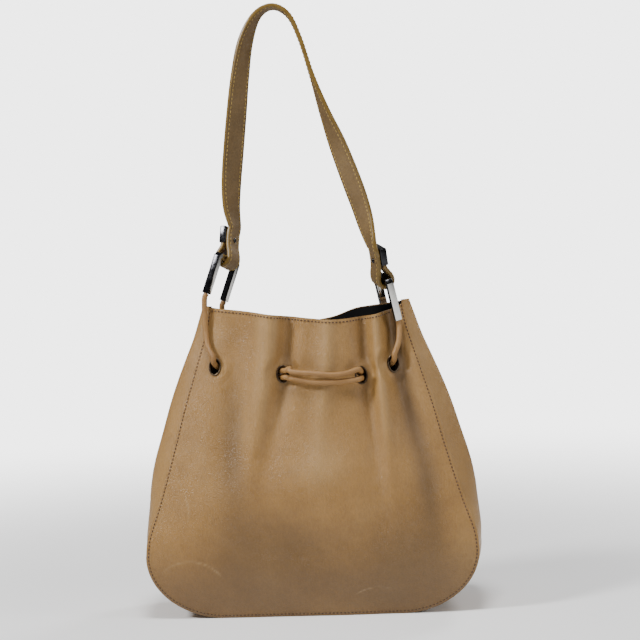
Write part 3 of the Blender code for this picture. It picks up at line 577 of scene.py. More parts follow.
def body_leather():
    """Mottled tan, darker with painted shade in the creases and towards the foot and with dirt patches, paler
    with painted highlights on its ridges, and paler on its scratches.
    """
    m = Nodes("tan_body_leather")
    tone = m.ramp(m.noise(11, 5, 0.55, distortion=0.6), (0.30, (0.262, 0.138, 0.036)),
                  (0.50, (0.310, 0.168, 0.048)), (0.72, (0.355, 0.202, 0.065)))
    mottle = m.tones(70, (0.86, 0.84, 0.80), (1.06, 1.05, 1.04), 6, 0.65)
    colour = m.mix(0.75, tone, mottle, "MULTIPLY")
    streaks = m.ramp(m.noise(620, 3, 0.6, m.mapped((1, 1, 0.45))), (0.35, (0.86, 0.85, 0.82)),
                     (0.65, (1.06, 1.05, 1.04)))
    colour = m.mix(0.8, colour, streaks, "MULTIPLY")
    painted_light_and_dirt_tone = m.attribute("painted_light_and_dirt")
    # Painted shade and dirt: dark brown where the tone attribute is low.
    colour = m.mix(m.span(painted_light_and_dirt_tone, 0.0, -0.55), colour, (0.070, 0.037, 0.011))
    # Painted highlights: pale tan on the ridges and pale patches where the tone attribute is high.
    colour = m.mix(m.span(painted_light_and_dirt_tone, 0.02, 0.45, 0.0, 0.8), colour, (0.49, 0.315, 0.135))
    scuffed = m.span(m.noise(50, 4, 0.7), 0.3, 0.7, 0.12, 0.42)
    colour = m.mix(m.times(m.attribute("scratch"), scuffed), colour, (0.48, 0.32, 0.155))
    spots = m.span(m.voronoi(36, "F1", m.mapped(location=(0.13, 0.07, 0.21))), 0.045, 0.02)
    colour = m.mix(m.times(spots, 0.35), colour, (0.20, 0.10, 0.045))
    roughness = m.span(m.noise(45, 4, 0.6), 0.25, 0.75, 0.30, 0.45)
    return m.finish(colour, roughness, grain_normal(m, 0.55), Specular_IOR_Level=0.5)


def cord_leather():
    m = Nodes("tan_cord_leather")
    tone = m.ramp(m.noise(40, 5, 0.6), (0.3, (0.235, 0.115, 0.030)), (0.6, (0.325, 0.170, 0.052)),
                  (0.8, (0.400, 0.225, 0.080)))
    streaks = m.noise(260, 4, 0.7, m.mapped((0.35, 1, 1)))
    shade = m.ramp(streaks, (0.3, (0.80, 0.77, 0.72)), (0.7, (1.05, 1.04, 1.02)))
    return m.finish(m.mix(0.5, tone, shade, "MULTIPLY"), m.span(streaks, 0.3, 0.7, 0.34, 0.50),
                    grain_normal(m, 0.35, 1500, 420), Specular_IOR_Level=0.5)


def strap_tan():
    m = Nodes("tan_strap_leather")
    tone = m.tones(24, (0.215, 0.115, 0.038), (0.300, 0.170, 0.062), 5, 0.6)
    return m.finish(tone, m.span(m.noise(60), 0.3, 0.7, 0.38, 0.55), grain_normal(m), Specular_IOR_Level=0.45)


def strap_taupe():
    m = Nodes("taupe_strap_lining")
    tone = m.ramp(m.noise(30, 6, 0.65), (0.25, (0.112, 0.066, 0.021)), (0.5, (0.150, 0.090, 0.031)),
                  (0.8, (0.190, 0.120, 0.046)))
    speck = m.tones(500, (0.82, 0.80, 0.76), (1.08, 1.07, 1.05), 3, 0.7, 0.35, 0.65)
    return m.finish(m.mix(0.6, tone, speck, "MULTIPLY"), m.span(m.noise(80), 0.3, 0.7, 0.46, 0.62),
                    grain_normal(m, 0.40, 1700, 300), Specular_IOR_Level=0.4)


def edge_paint():
    m = Nodes("mustard_edge_paint")
    tone = m.tones(90, (0.125, 0.070, 0.010), (0.190, 0.115, 0.022), 4, 0.6)
    return m.finish(tone, 0.38, m.bump(m.noise(400, 3), 0.25, 0.0003), Specular_IOR_Level=0.5)


def cut_edge():
    m = Nodes("raw_leather_edge")
    tone = m.tones(160, (0.13, 0.070, 0.022), (0.20, 0.115, 0.042), 4, 0.6)
    return m.finish(tone, 0.7, m.bump(m.noise(1500, 3), 0.5, 0.0003))


def lining_cloth():
    m = Nodes("black_lining_cloth")
    weave = m.add("TexWave", "Fac", Scale=420, Vector=m.coordinates)
    tone = m.tones(60, (0.0015, 0.0015, 0.0018), (0.0035, 0.0035, 0.004))
    return m.finish(tone, 0.85, m.bump(weave, 0.3, 0.0002), Specular_IOR_Level=0.15)


def stitch_thread(name, dark, light):
    m = Nodes(name)
    tone = m.tones(900, dark, light, 3, low=0.35, high=0.65)
    return m.finish(tone, 0.62, m.bump(m.noise(2600, 2), 0.4, 0.0002), Sheen_Weight=0.1)


def metal(name, dark, light, rough_low, rough_high):
    m = Nodes(name)
    tone = m.tones(220, dark, light, 5, 0.6)
    brushed = m.noise(900, 2, 0.5, m.mapped((1, 1, 0.08)))
    roughness = m.span(m.noise(374), 0.3, 0.7, rough_low, rough_high)
    return m.finish(tone, roughness, m.bump(brushed, 0.04, 0.0001), Metallic=1.0)


def fibre_board():
    m = Nodes("fibre_board")
    tone = m.tones(300, (0.16, 0.12, 0.08), (0.26, 0.20, 0.14))
    return m.finish(tone, 0.85, m.bump(m.noise(800), 0.4, 0.0004))


BODY = body_leather()
CORD = cord_leather()
STRAP_TAN = strap_tan()
TAUPE = strap_taupe()
PAINT = edge_paint()
CUT = cut_edge()
LINING = lining_cloth()
THREAD = stitch_thread("ochre_thread", (0.045, 0.019, 0.003), (0.085, 0.038, 0.007))
THREAD_STRAP = stitch_thread("ochre_strap_thread", (0.34, 0.215, 0.040), (0.50, 0.335, 0.085))
# Pale copy of the link metal, used as painted reflection on some faces of the links.
PAINTED_REFLECTION_METAL = metal("link_face_painted_reflection", (0.62, 0.61, 0.58), (0.74, 0.73, 0.70), 0.10, 0.20)
GUNMETAL = metal("black_chrome", (0.020, 0.020, 0.022), (0.050, 0.050, 0.054), 0.10, 0.22)
ANTIQUE = metal("antique_eyelet_metal", (0.045, 0.030, 0.018), (0.150, 0.110, 0.070), 0.28, 0.48)
BOARD = fibre_board()


# ---- stitches

# Rings of one stitch: (share of its length from the middle, share of its radius).
STITCH_RINGS = ((-0.5, 0.35), (-0.38, 0.85), (0, 1.0), (0.38, 0.85), (0.5, 0.35))
STITCH_SIDES = 6
STITCH_LIFT = 0.10 * MM
STITCH_DIP = 0.30 * MM


def stitch_points(centre, along, normal, length, radius):
    """Points of one rounded stitch, whose ends dip into the leather."""
    side = along.cross(normal).normalized()
    up = side.cross(along).normalized()
    if up.dot(normal) < 0:
        up = -up
    points = []
    for share, scale in STITCH_RINGS:
        middle = centre + along * (share * length) + up * (STITCH_LIFT - STITCH_DIP * (1 - scale))
        points += round_ring(middle, side, up, radius * scale, STITCH_SIDES)
    return points


def stitch_mesh(name, runs, finish, length=2.2 * MM, pitch=3.4 * MM, radius=0.62 * MM):
    """One mesh of small stitches laid along runs of (point, normal)."""
    one = tube_faces(len(STITCH_RINGS), STITCH_SIDES)
    points, faces = [], []
    for run in runs:
        carried = pitch * 0.5
        for (a, normal), (b, _) in zip(run, run[1:]):
            span = (b - a).length
            along = (b - a).normalized()
            while carried < span:
                faces += [tuple(len(points) + k for k in face) for face in one]
                points += stitch_points(a + along * carried, along, normal, length, radius)
                carried += pitch
            carried -= span
    obj = add_mesh(name, points, faces, finish)
    fix_normals(obj)
    return obj


# ---- body pieces

def outline_rows(side_rows, corner_rows):
    return [i / side_rows for i in range(side_rows)] + [1 + i / corner_rows for i in range(corner_rows + 1)]


def eyelet_frame(side, place):
    """Frame of an eyelet at the middle of its CAD node: Z out of the panel, Y up the panel."""
    x, z, height, slope_x, slope_z = SEATS[side][place]
    normal = Vector((-slope_x, outward(side), -slope_z)).normalized()
    origin = Vector((x, outward(side) * height, z))
    up = Vector((0, 0, 1))
    up = (up - normal * up.dot(normal)).normalized()
    turn = Matrix((up.cross(normal), up, normal)).transposed().to_4x4()
    return Matrix.Translation(origin) @ turn


def cut_eyelet_holes(obj, side):
    """Open the oval holes in a dense sheet and round their edges."""
    half_x, half_y = (size + EYELET_BARREL + 0.25 * MM for size in EYELET_HOLE)
    mesh = bmesh.new()
    mesh.from_mesh(obj.data)
    for place in EYELETS[side]:
        into = eyelet_frame(side, place).inverted()
        inside = []
        for vert in mesh.verts:
            local = into @ vert.co
            if abs(local.z) < HOLE_DEPTH and (local.x / half_x) ** 2 + (local.y / half_y) ** 2 < 1:
                inside.append(vert)
        bmesh.ops.delete(mesh, geom=inside, context="VERTS")
        out_of = into.inverted()
        for vert in mesh.verts:
            if not vert.is_boundary:
                continue
            local = into @ vert.co
            ratio = sqrt((local.x / half_x) ** 2 + (local.y / half_y) ** 2)
            if abs(local.z) < HOLE_DEPTH and 1 <= ratio < 1.75:
                vert.co = out_of @ Vector((local.x / ratio, local.y / ratio, local.z))
    mesh.to_mesh(obj.data)
    mesh.free()


def make_panel(side):
    """Leather panel with its folds, holes, painted light and shade, dirt patches and scratches."""
    across, levels = spread(210), outline_rows(156, 52)
    points = [panel_point(side, u, t) for t in levels for u in across]
    obj = add_mesh("panel_" + side, points, grid_faces(len(levels), len(across), side == "front"), BODY, CUT)
    # Tone of painted light and shade from the folds and the foot, with dirt patches.
    write_tone(obj, "painted_light_and_dirt", lambda place: painted_light_and_dirt(side, place.x, place.z))
    write_tone(obj, "scratch", lambda place: scratch(side, place.x, place.z))
    cut_eyelet_holes(obj, side)
    thicken(obj, PANEL_THICKNESS, rim_material=1)
    register(obj, "bag", "tan_leather", side + "_panel")


def make_gusset(hand, name):
    """Side gusset, which runs round the lower corner to the base panel."""
    across, levels = spread(36), outline_rows(120, 40)
    points = []
    for t in levels:
        lap = PANEL_LAP * (1 - smooth_step(1.2, 2, t))
        points += [gusset_point(hand, v, t, lap) for v in across]
    obj = add_mesh(name + "_leather", points, grid_faces(len(levels), len(across), hand > 0), BODY)
    # Paler all over, and darker with painted shade towards the foot of the gusset.
    write_tone(obj, "painted_light_and_dirt", lambda place: 0.10 - 0.36 * (1 - smooth_step(0, 80 * MM, place.z)))
    thicken(obj, GUSSET_THICKNESS)
    register(obj, "bag", "tan_leather", name)


def make_base():
    """Slightly uneven leather base between the gussets."""
    low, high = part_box("base_panel")
    across, depth = spread(60), spread(34)
    points = []
    for v in depth:
        for u in across:
            x, y = (((1 - w) * low[axis] + (1 + w) * high[axis]) / 2 for axis, w in enumerate((u, v)))
            points.append(Vector((x, y, low[2] + 0.15 * MM * (1 + sin(x * 90) * sin(y * 110)))))
    obj = add_mesh("base_leather", points, grid_faces(len(depth), len(across), True), BODY)
    thicken(obj, GUSSET_THICKNESS - 0.3 * MM)
    register(obj, "bag", "tan_leather", "base_panel")


def make_lining():
    """Two cloth halves and side strips in one open-topped shell inside the leather."""
    across, depth = spread(120, RIM_REACH), spread(10, 0.7)
    rings = []
    for t in outline_rows(90, 20)[:-2]:
        ring = [panel_point("front", u, t, -LINING_INSET) for u in across]
        ring += [gusset_point(1, v, t, LINING_SIDE_INSET) for v in depth]
        ring += [panel_point("back", -u, t, -LINING_INSET) for u in across]
        ring += [gusset_point(-1, -v, t, LINING_SIDE_INSET) for v in depth]
        if not rings:
            ring = [p - Vector((0, 0, 0.9 * MM)) for p in ring]
        rings.append(ring)
    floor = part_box("base_board")[1][2] + 0.4 * MM
    last = rings[-1]
    for share in (0.93, 0.86, 0.6, 0.3):
        rings.append([Vector((p.x * share, p.y * min(1, share + 0.08), floor + max(share - 0.86, 0) * 4 * MM))
                      for p in last])
    faces = tube_faces(len(rings), len(last))
    faces.pop(-2)
    obj = add_mesh("lining_cloth", [p for ring in rings for p in ring], faces, LINING)
    for side in ("front", "back"):
        cut_eyelet_holes(obj, side)
    fix_normals(obj)
    thicken(obj, LINING_THICKNESS)
    register(obj, "bag", "lining", "lining")


def panel_stitches(side):
    """Topstitching just inside the panel's edge: down both sides, round the base and along the rim."""
    rim = []
    for u in spread(240, RIM_REACH):
        x, z = panel_place(side, u, 0)
        rim.append(beside_panel(side, x, z - RIM_STITCH_INSET, 0))
    edge = []
    for hand in (-1, 1):
        half = []
        for i in range(301):
            t = 0.02 + 1.98 * i / 300
            x, z, normal = outline(t)
            half.append(beside_panel(side, hand * (x - normal.x * SEAM_STITCH_INSET),
                                     z - normal.z * SEAM_STITCH_INSET, 0))
        edge.append(half)
    bottom = [beside_panel(side, x, SEAM_STITCH_INSET, 0) for x in spread(80, BASE_HALF_WIDTH)]
    runs = [rim, edge[0] + bottom[1:-1] + edge[1][::-1]]
    register(stitch_mesh("topstitching_" + side, runs, THREAD), "bag", "tan_leather")


# ---- eyelets

RING_SIDES = 56


def swept_ring(name, section, matrix, finish):
    """Oval ring whose closed cross-section is given as (growth from the hole, height)."""
    half_x, half_y = EYELET_HOLE
    points = []
    for grow, height in section:
        points += round_ring(Vector((0, 0, height)), Vector((half_x + grow, 0, 0)),
                             Vector((0, half_y + grow, 0)), 1, RING_SIDES)
    faces = grid_faces(len(section), RING_SIDES, closed=True)
    last = (len(section) - 1) * RING_SIDES
    faces += [(last + i, last + (i + 1) % RING_SIDES, (i + 1) % RING_SIDES, i) for i in range(RING_SIDES)]
    obj = add_mesh(name, [matrix @ p for p in points], faces, finish)
    fix_normals(obj)
    sharpen(obj, 45)
    return obj


def make_eyelets():
    rim = [(EYELET_FLANGE, EYELET_LIFT - 0.3 * MM)]
    middle = EYELET_FLANGE / 2
    for i in range(9):
        angle = pi * i / 8
        rim.append((middle + (EYELET_FLANGE / 2) * cos(angle), EYELET_LIFT + EYELET_HEIGHT * sin(angle)))
    rim += [(0, -BARREL_END), (EYELET_BARREL, -BARREL_END), (EYELET_BARREL, EYELET_LIFT - 0.3 * MM)]
    washer = [(EYELET_BARREL + GAP, -WASHER_INSET), (EYELET_BARREL + GAP, -WASHER_INSET - 0.6 * MM),
              (EYELET_FLANGE - 0.2 * MM, -WASHER_INSET - 0.6 * MM), (EYELET_FLANGE, -WASHER_INSET - 0.3 * MM),
              (EYELET_FLANGE, -WASHER_INSET)]
    for side, places in EYELETS.items():
        for place in places:
            label = side + "_" + place
            matrix = eyelet_frame(side, place)
            for kind, section in (("eyelet", rim), ("washer", washer)):
                obj = swept_ring(kind + "_ring_" + label, section, matrix, ANTIQUE)
                register(obj, "bag", "eyelet_metal", kind + "_" + label)


# ---- links and strap

def link_axes(hand):
    bar = Vector(LINKS[hand]["bar"]).normalized()
    leg = Vector(LINKS[hand]["leg"])
    leg = (leg - bar * leg.dot(bar)).normalized()
    return bar, leg


def link_centre(hand):
    return Vector(LINKS[hand]["at"]) * MM


def leg_end(hand, end, below=0.0):
    bar, leg = link_axes(hand)
    return link_centre(hand) + bar * (end * LINK_SPAN / 2) + leg * (LINK_LEG + below)


def loop_axes(hand):
    bar = link_axes(hand)[0]
    lean = Vector((0.0, 0.0, 1.0)) if hand == "left" else Vector((-0.2, 0.0, 1.0))
    up = (lean - bar * lean.dot(bar)).normalized()
    sideways = bar.cross(up)
    if sideways.x * (-1 if hand == "left" else 1) < 0:
        sideways = -sideways
    return bar, sideways, up


def loop_route(hand):
    bar, out, up = loop_axes(hand)
    flat = [(END_OFFSET, END_TOP), (END_OFFSET, 20 * MM), (END_OFFSET, 13.5 * MM),
            (END_OFFSET + 1.2 * MM, 10 * MM), (LOOP_RADIUS - 1.2 * MM, 4.5 * MM)]
    for i in range(9):
        angle = pi * i / 8
        flat.append((LOOP_RADIUS * cos(angle), -LOOP_RADIUS * sin(angle)))
    flat += [(-LOOP_RADIUS + 0.3 * MM, 5 * MM), (-LEG_OFFSET - 0.5 * MM, 11 * MM),
             (-LEG_OFFSET, 16.5 * MM), (-LEG_OFFSET, 25 * MM), (-LEG_OFFSET - 0.8 * MM, 33 * MM)]
    return [(link_centre(hand) + out * p + up * q, bar) for p, q in flat]


def strap_frames(spacing):
    """Middle line, direction and front-edge direction along the whole strap."""
    route = loop_route("left")
    route += [(Vector(at) * MM, Vector(edge)) for at, edge in STRAP_ROUTE]
    route += list(reversed(loop_route("right")))
    places = spline_through([place for place, _ in route])
    edges = spline_through([edge.normalized() for _, edge in route])
    stations = []
    for i in range(len(route) - 1):
        steps = max(1, round((route[i + 1][0] - route[i][0]).length / spacing))
        stations += [(places(i, k / steps), edges(i, k / steps)) for k in range(steps)]
    stations.append(route[-1])
    frames = []
    for i, (place, edge) in enumerate(stations):
        along = stations[min(i + 1, len(stations) - 1)][0] - stations[max(i - 1, 0)][0]
        along.normalize()
        edge = (edge - along * edge.dot(along)).normalized()
        frames.append((place, along, edge))
    return frames


def strap_section(kind):
    """Closed outline (across, outwards from the middle) of one part of the strap; + is the inner face."""
    half = STRAP_WIDTH / 2
    inside = 0.12 * MM
    outside = PLY_OFFSET + PLY_THICKNESS / 2
    if kind == "edge":
        return [(half - 0.5 * MM + 0.55 * MM * cos(angle), (outside + 0.02 * MM) * sin(angle))
                for angle in spread(10, pi / 2)]
    sign = 1 if kind == "inner" else -1
    reach = half - 0.45 * MM
    face = []
    for across in spread(12, reach):
        crown = 0.10 * MM * (1 - (across / reach) ** 2)
        round_off = 0.35 * MM * max(0, (abs(across) - reach + 1.4 * MM) / (1.4 * MM)) ** 2
        face.append((across, sign * (outside + crown - round_off)))
    return face + [(reach, sign * inside), (-reach, sign * inside)]


def make_strap():
    frames = strap_frames(2.2 * MM)
    pieces = (("strap_outer_leather", "outer", STRAP_TAN, 1, "tan_leather", "strap_outer_ply"),
              ("strap_inner_leather", "inner", TAUPE, 1, "strap_lining_leather", "strap_inner_ply"),
              ("strap_edge_front", "edge", PAINT, 1, "tan_leather", None),
              ("strap_edge_back", "edge", PAINT, -1, "tan_leather", None))
    for name, kind, finish, hand, slot, node in pieces:
        section = strap_section(kind)
        rings = [[place + edge * (hand * across) + along.cross(edge) * depth for across, depth in section]
                 for place, along, edge in frames]
        obj = loft(name, rings, finish)
        sharpen(obj, 60)
        register(obj, "strap", slot, node)
    rows = []
    surface = PLY_OFFSET + PLY_THICKNESS / 2 + 0.03 * MM
    for hand in (-1, 1):
        for face in (-1, 1):
            across = hand * (STRAP_WIDTH / 2 - STRAP_STITCH_INSET)
            rows.append([(place + edge * across + along.cross(edge) * (face * surface),
                          along.cross(edge) * face) for place, along, edge in frames[8:-8]])
    obj = stitch_mesh("strap_stitching", rows, THREAD_STRAP, 2.6 * MM, 4.0 * MM, 0.42 * MM)
    register(obj, "strap", "strap_lining_leather")


def bevelled(obj, width, segments):
    """Round an object's edges and keep its flat faces flat."""
    modifier = obj.modifiers.new("rounded edges", "BEVEL")
    modifier.width = width
    modifier.segments = segments
    modifier.limit_method = "ANGLE"
    modifier.angle_limit = radians(25)
    apply_modifiers(obj)
    obj.data.shade_smooth()
    sharpen(obj, 22)


def make_link(hand):
    """Inverted U of square bar in black chrome, with a pale copy of the metal as painted reflection on the
    leg faces turned one way, and black sides.
    """
    outer = LINK_SPAN / 2 + LINK_BAR / 2
    inner = LINK_SPAN / 2 - LINK_BAR / 2
    top = LINK_BAR / 2
    cut = 3.2 * MM
    shape = [(-outer, -LINK_LEG), (-outer, top - cut), (-outer + cut, top), (outer - cut, top),
             (outer, top - cut), (outer, -LINK_LEG), (inner, -LINK_LEG), (inner, -top), (-inner, -top),
             (-inner, -LINK_LEG)]
    bar, leg = link_axes(hand)
    across = bar.cross(-leg)
    centre = link_centre(hand)
    points = [centre + bar * x - leg * y + across * (side * LINK_BAR / 2)
              for side in (-1, 1) for x, y in shape]
    count = len(shape)
    faces = [(0, 9, 8, 1), (1, 8, 7, 4, 3, 2), (7, 6, 5, 4)]
    faces += [tuple(count + i for i in reversed(face)) for face in faces]
    for i in range(count):
        j = (i + 1) % count
        faces.append((i, j, j + count, i + count))
    obj = add_mesh("link_metal_" + hand, points, faces, GUNMETAL, PAINTED_REFLECTION_METAL)
    fix_normals(obj)
    bevelled(obj, 0.45 * MM, 3)
    # Painted reflection: leg faces along this axis take the pale metal, a different axis on each link.
    painted_reflection_axis = across if hand == "left" else bar
    for polygon in obj.data.polygons:
        middle = polygon.center - centre
        on_leg = middle.dot(leg) > -0.5 * MM
        if on_leg and abs(polygon.normal.dot(painted_reflection_axis)) > 0.93 and middle.dot(leg) < LINK_LEG - 0.1 * MM:
            polygon.material_index = 1
    register(obj, "link_" + hand, "link_metal", "link_" + hand)


def box_mesh(name, size, matrix, finish):
    half = [s / 2 for s in size]
    points = [matrix @ Vector((x * half[0], y * half[1], z * half[2]))
              for x in (-1, 1) for y in (-1, 1) for z in (-1, 1)]
    faces = [(0, 1, 3, 2), (4, 6, 7, 5), (0, 4, 5, 1), (2, 3, 7, 6), (0, 2, 6, 4), (1, 5, 7, 3)]
    obj = add_mesh(name, points, faces, finish)
    fix_normals(obj)
    return obj


def make_cap(hand):
    bar, out, up = loop_axes(hand)
    centre = link_centre(hand) + out * END_OFFSET + up * CAP_CENTRE
    matrix = Matrix.Translation(centre) @ Matrix((bar, out, up)).transposed().to_4x4()
    obj = box_mesh("end_cap_" + hand, (CAP_WIDTH, CAP_DEPTH, CAP_LENGTH), matrix, GUNMETAL)
    bevelled(obj, 0.8 * MM, 4)
    register(obj, "strap", "cap_metal", "strap_end_cap_" + hand)


def make_stud(hand):
    bar, out, up = loop_axes(hand)
    face = -LEG_OFFSET - PLY_OFFSET - PLY_THICKNESS / 2
    seat = link_centre(hand) + up * STUD_HEIGHT + out * (face - 0.1 * MM)
    dome = ((2.3, -0.15), (2.3, 0.25), (2.1, 0.7), (1.7, 1.05), (1.1, 1.3), (0.5, 1.4))
    rings = [round_ring(seat - out * (height * MM), up, bar, radius * MM, 28) for radius, height in dome]
    obj = loft("stud_" + hand, rings, GUNMETAL)
    register(obj, "strap", "link_metal", "strap_stud_" + hand)


# ---- drawstrings

def past(side, points):
    """Route points given as (x, z, lift) beside a panel."""
    return [beside_panel(side, x * MM, z * MM, lift * MM, False)[0] for x, z, lift in points]


# Runs through an eyelet in its own frame: (sideways, lift), with the strand outside it first.
PASSAGE_OUT = ((1.9, 5.2), (0.3, 1.2))
PASSAGE_IN = ((0.2, -4.0), (1.2, -8.4), (5.6, -12.6))
OUTER_STRAND = (5.0, 8.8)
INNER_STRAND = (5.6, 7.6)
# The run down from a link: (sideways, up the panel, lift).
PASSAGE_DOWN = ((0, 8.2, 6.2), (0, 4.4, 4.8), (0, 2.4, 1.2), (0.2, 1.0, -4.0), (1.3, 0, -8.4),
                (5.6, -0.6, -12.6))


def at_eyelet(side, place, run):
    """Points of a run placed at an eyelet, with its sideways along the bag's X."""
    matrix = eyelet_frame(side, place)
    hand = 1 if matrix.to_3x3().col[0].x > 0 else -1
    return [matrix @ (Vector((hand * x, up, lift)) * MM) for x, up, lift in run]


def through(side, place, height, strand, out_x, in_x, inwards=True):
    """Route through an eyelet; out_x and in_x are the X signs it comes from and goes to."""
    run = [(out_x * strand[0], 1.45 * height, strand[1])]
    run += [(out_x * x, height, lift) for x, lift in PASSAGE_OUT]
    run += [(in_x * x, height, lift) for x, lift in PASSAGE_IN]
    points = at_eyelet(side, place, run)
    return points if inwards else points[::-1]


def down_through(side, place, in_x):
    """Route down from a link to an outer eyelet and in."""
    return at_eyelet(side, place, [(in_x * x, up, lift) for x, up, lift in PASSAGE_DOWN])


def inside_side(x, z):
    """Route round the inside of a gusset, from the front to the back."""
    near = x - 8 if x > 0 else x + 8
    return [Vector(place) * MM for place in ((near, -9, z), (x, -3.5, z), (x, 3.5, z), (near, 9, z))]


def left_drawstring():
    """From the left link's front leg, round the right side of the bag, to its back leg."""
    route = [leg_end("left", 1, GAP), leg_end("left", 1, 6 * MM)]
    route += past("front", ((-91.2, 272, 5.4), (-91.0, 260, 4.6), (-89.0, 247, 5.2)))
    route += down_through("front", "left", 1)
    route += past("front", ((-64, 225.5, -11), (-46, 224.4, -11)))
    route += through("front", "centre_left", 3.1, OUTER_STRAND, 1, -1, inwards=False)
    route += past("front", ((-7, 223.0, 9.9), (9, 219.6, 9.9), (22, 218.2, 9.9), (36, 218.6, 9.6)))
    route += through("front", "centre_right", 3.1, OUTER_STRAND, -1, 1)
    route += [Vector(place) * MM for place in
              ((60.5, -6.2, 222), (70, -4.8, 217), (82, -6, 212), (92, -8.5, 211))]
    route += inside_side(111, 211)
    route += past("back", ((88, 212.5, -11.5), (70, 213.5, -13), (54, 215, -13)))
    route += through("back", "centre_right", -3.1, OUTER_STRAND, -1, 1, inwards=False)
    route += past("back", ((24, 211.8, 10.8), (4, 214, 12), (-14, 219.4, 11.2)))
    route += through("back", "centre_left", 3.1, OUTER_STRAND, 1, -1)
    route += past("back", ((-50, 223.4, -12), (-61, 224.4, -14.5)))
    route += down_through("back", "left", 1)[::-1]
    route += past("back", ((-77.4, 245, 5.0), (-77.8, 258, 4.8), (-78.2, 270, 6.4)))
    return route + [leg_end("left", -1, 6 * MM), leg_end("left", -1, GAP)]


def right_drawstring():
    """From the right link's front leg, round the left side of the bag, to its back leg."""
    route = [leg_end("right", 1, GAP), leg_end("right", 1, 5 * MM)]
    route += past("front", ((87.0, 249, 5.2), (85.0, 242, 6)))
    route += down_through("front", "right", -1)
    route += through("front", "centre_right", -3.1, INNER_STRAND, -1, 1, inwards=False)
    route += past("front", ((36, 212.3, 7.4), (22, 211.6, 7.4), (8, 211.8, 7.2), (-8, 213.9, 6.8)))
    route += through("front", "centre_left", -3.1, INNER_STRAND, 1, -1)
    route += past("front", ((-44, 216.6, -11), (-64, 216, -11), (-86, 215, -11)))
    route += inside_side(-110.5, 214)
    route += past("back", ((-86, 215, -11.5), (-64, 215.6, -12.5), (-48, 215.6, -12.5)))
    route += through("back", "centre_left", -3.1, INNER_STRAND, 1, -1, inwards=False)
    route += past("back", ((-15, 212.4, 5.4), (4, 211.4, 5.4), (22, 217.4, 5.6)))
    route += through("back", "centre_right", 3.1, INNER_STRAND, -1, 1)
    route += past("back", ((54, 222.6, -13.0),))
    route += down_through("back", "right", -1)[::-1]
    route += past("back", ((71.2, 246, 5.2), (72.6, 258, 5.4)))
    return route + [leg_end("right", -1, 6 * MM), leg_end("right", -1, GAP)]


def cord_rings(route, sides=18, spacing=1.3 * MM):
    """Places along a cord's route, and the ring of the round cord at each."""
    at = spline_through(route)
    places = []
    for i in range(len(route) - 1):
        steps = max(1, round((route[i + 1] - route[i]).length / spacing))
        places += [at(i, k / steps) for k in range(steps)]
    places.append(route[-1])
    rings = []
    side = None
    for i, place in enumerate(places):
        along = (places[min(i + 1, len(places) - 1)] - places[max(i - 1, 0)]).normalized()
        if side is None:
            side = along.orthogonal()
        side = (side - along * side.dot(along)).normalized()
        rings.append(round_ring(place, side, along.cross(side), CORD_RADIUS, sides))
    return places, rings


TIP_LENGTH = 15 * MM
FOOT_LENGTH = 7 * MM


def make_drawstring(hand, route):
    """The stretch held by the bag, and on each end a riser to the link in two parts."""
    places, rings = cord_rings(route)
    holes = [eyelet_frame(side, hand).translation for side in ("front", "back")]
    enter, leave = (min(range(len(places)), key=lambda i: (places[i] - hole).length) for hole in holes)
    body = loft("drawstring_run_" + hand, rings[enter:leave + 1], CORD)
    register(body, "bag", "cord_leather", "drawstring_" + hand)
    ends = (("front", rings[:enter + 1], places[:enter + 1]),
            ("back", rings[leave:][::-1], places[leave:][::-1]))
    for label, some_rings, some_places in ends:
        top = next(i for i, p in enumerate(some_places) if (p - some_places[0]).length > TIP_LENGTH)
        foot = max(i for i, p in enumerate(some_places) if (p - some_places[-1]).length > FOOT_LENGTH)
        upper = loft("drawstring_tip_" + hand + "_" + label, some_rings[:top + 1], CORD)
        tuple(some_places[top])
        tuple(some_places[1])
        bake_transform(upper)
        lower = loft("drawstring_riser_" + hand + "_" + label, some_rings[top:], CORD)
        tuple(some_places[foot])
        tuple(some_places[top])
        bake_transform(lower)
        for piece in (upper, lower):
            sharpen(piece, 60)


# ---- build

for body_side in ("front", "back"):
    make_panel(body_side)
    panel_stitches(body_side)
make_gusset(-1, "gusset_left")
make_gusset(1, "gusset_right")
make_base()
make_lining()
make_eyelets()
make_strap()
for link_hand in ("left", "right"):
    make_link(link_hand)
    make_cap(link_hand)
    make_stud(link_hand)
make_drawstring("left", left_drawstring())
make_drawstring("right", right_drawstring())
board_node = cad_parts["base_board"]
board_node.data.materials.clear()
board_node.data.materials.append(BOARD)


# ---- floor, light, camera

STUDIO_LIGHT = 0.17
BACKDROP_LIGHT = 4.0
LIGHT_TARGET = Vector((0, 0, 0.2))
CAMERA_DISTANCE = 1.45
CAMERA_TARGET = Vector((12.9 * MM, 0, 268.0 * MM))
VIEW_WIDTH = 640 * 0.936 * MM
FLOOR_HALF_SIZE = 3.0
FLOOR_LEVEL = -0.05 * MM


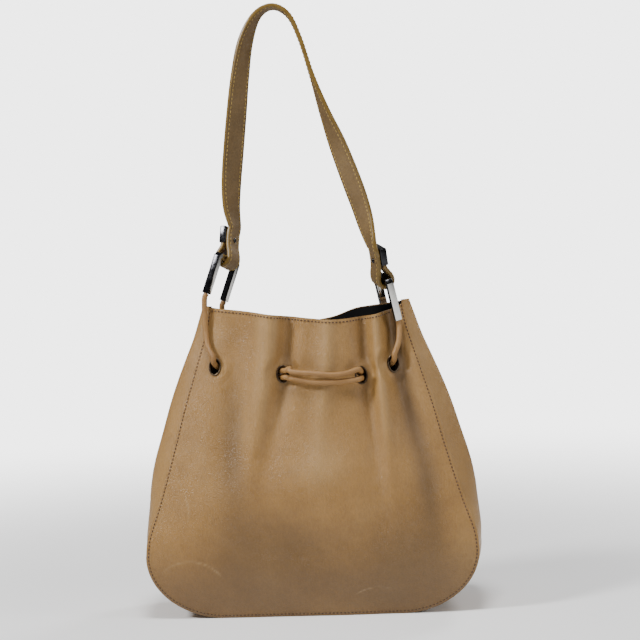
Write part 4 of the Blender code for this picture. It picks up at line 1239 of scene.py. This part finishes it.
def make_floor():
    """Pale floor that fades into the backdrop away from the bag."""
    reach = (-FLOOR_HALF_SIZE, FLOOR_HALF_SIZE)
    points = [Vector((x, y, FLOOR_LEVEL)) for y in reach for x in reach]
    m = Nodes("floor_paint")
    distance = m.add("VectorMath", "Value", {"operation": "LENGTH"}, Vector=m.coordinates)
    paint = m.finish(m.tones(3, (0.93, 0.93, 0.93), (0.94, 0.94, 0.94), 2), 0.8,
                     Alpha=m.span(distance, 0.25, 1.6, 1.0, 0.0))
    add_mesh("studio_floor", points, [(0, 1, 3, 2)], paint)


def area_light(name, place, size, power):
    """Round studio light aimed at the bag."""
    data = bpy.data.lights.new(name, "AREA")
    data.shape = "DISK"
    data.size = size
    data.energy = power
    lamp = bpy.data.objects.new(name, data)
    bpy.context.scene.collection.objects.link(lamp)
    lamp.location = place
    lamp.rotation_euler = (LIGHT_TARGET - lamp.location).to_track_quat("-Z", "Y").to_euler()


def make_world():
    """Dim studio light on the bag, and a bright backdrop behind it."""
    world = bpy.data.worlds.new("studio")
    bpy.context.scene.world = world
    world.use_nodes = True
    tree = world.node_tree
    background = tree.nodes["Background"]
    background.inputs["Color"].default_value = (1, 1, 1, 1)
    path = tree.nodes.new("ShaderNodeLightPath")
    level = tree.nodes.new("ShaderNodeMapRange")
    level.inputs["To Min"].default_value = STUDIO_LIGHT
    level.inputs["To Max"].default_value = BACKDROP_LIGHT
    tree.links.new(path.outputs["Is Camera Ray"], level.inputs["Value"])
    tree.links.new(level.outputs["Result"], background.inputs["Strength"])


def make_camera():
    """Camera in front of the bag, a little to its right and above, rolled as the picture is."""
    azimuth, elevation, roll = radians(3.0), radians(2.0), radians(-2.2)
    toward = Vector((sin(azimuth) * cos(elevation), -cos(azimuth) * cos(elevation), sin(elevation)))
    data = bpy.data.cameras.new("camera")
    data.lens = data.sensor_width * CAMERA_DISTANCE / VIEW_WIDTH
    camera = bpy.data.objects.new("camera", data)
    bpy.context.scene.collection.objects.link(camera)
    turn = (-toward).to_track_quat("-Z", "Y").to_matrix().to_4x4() @ Matrix.Rotation(roll, 4, "Z")
    camera.matrix_world = Matrix.Translation(CAMERA_TARGET + toward * CAMERA_DISTANCE) @ turn
    bpy.context.scene.camera = camera


make_floor()
make_world()
area_light("key", (-1.30, -0.75, 1.30), 0.4, 33)
area_light("fill", (1.5, -0.6, 0.7), 0.6, 9)
area_light("back", (0.9, 1.3, 1.2), 0.6, 14)
area_light("top", (0.0, -0.45, 1.6), 0.5, 17)
make_camera()
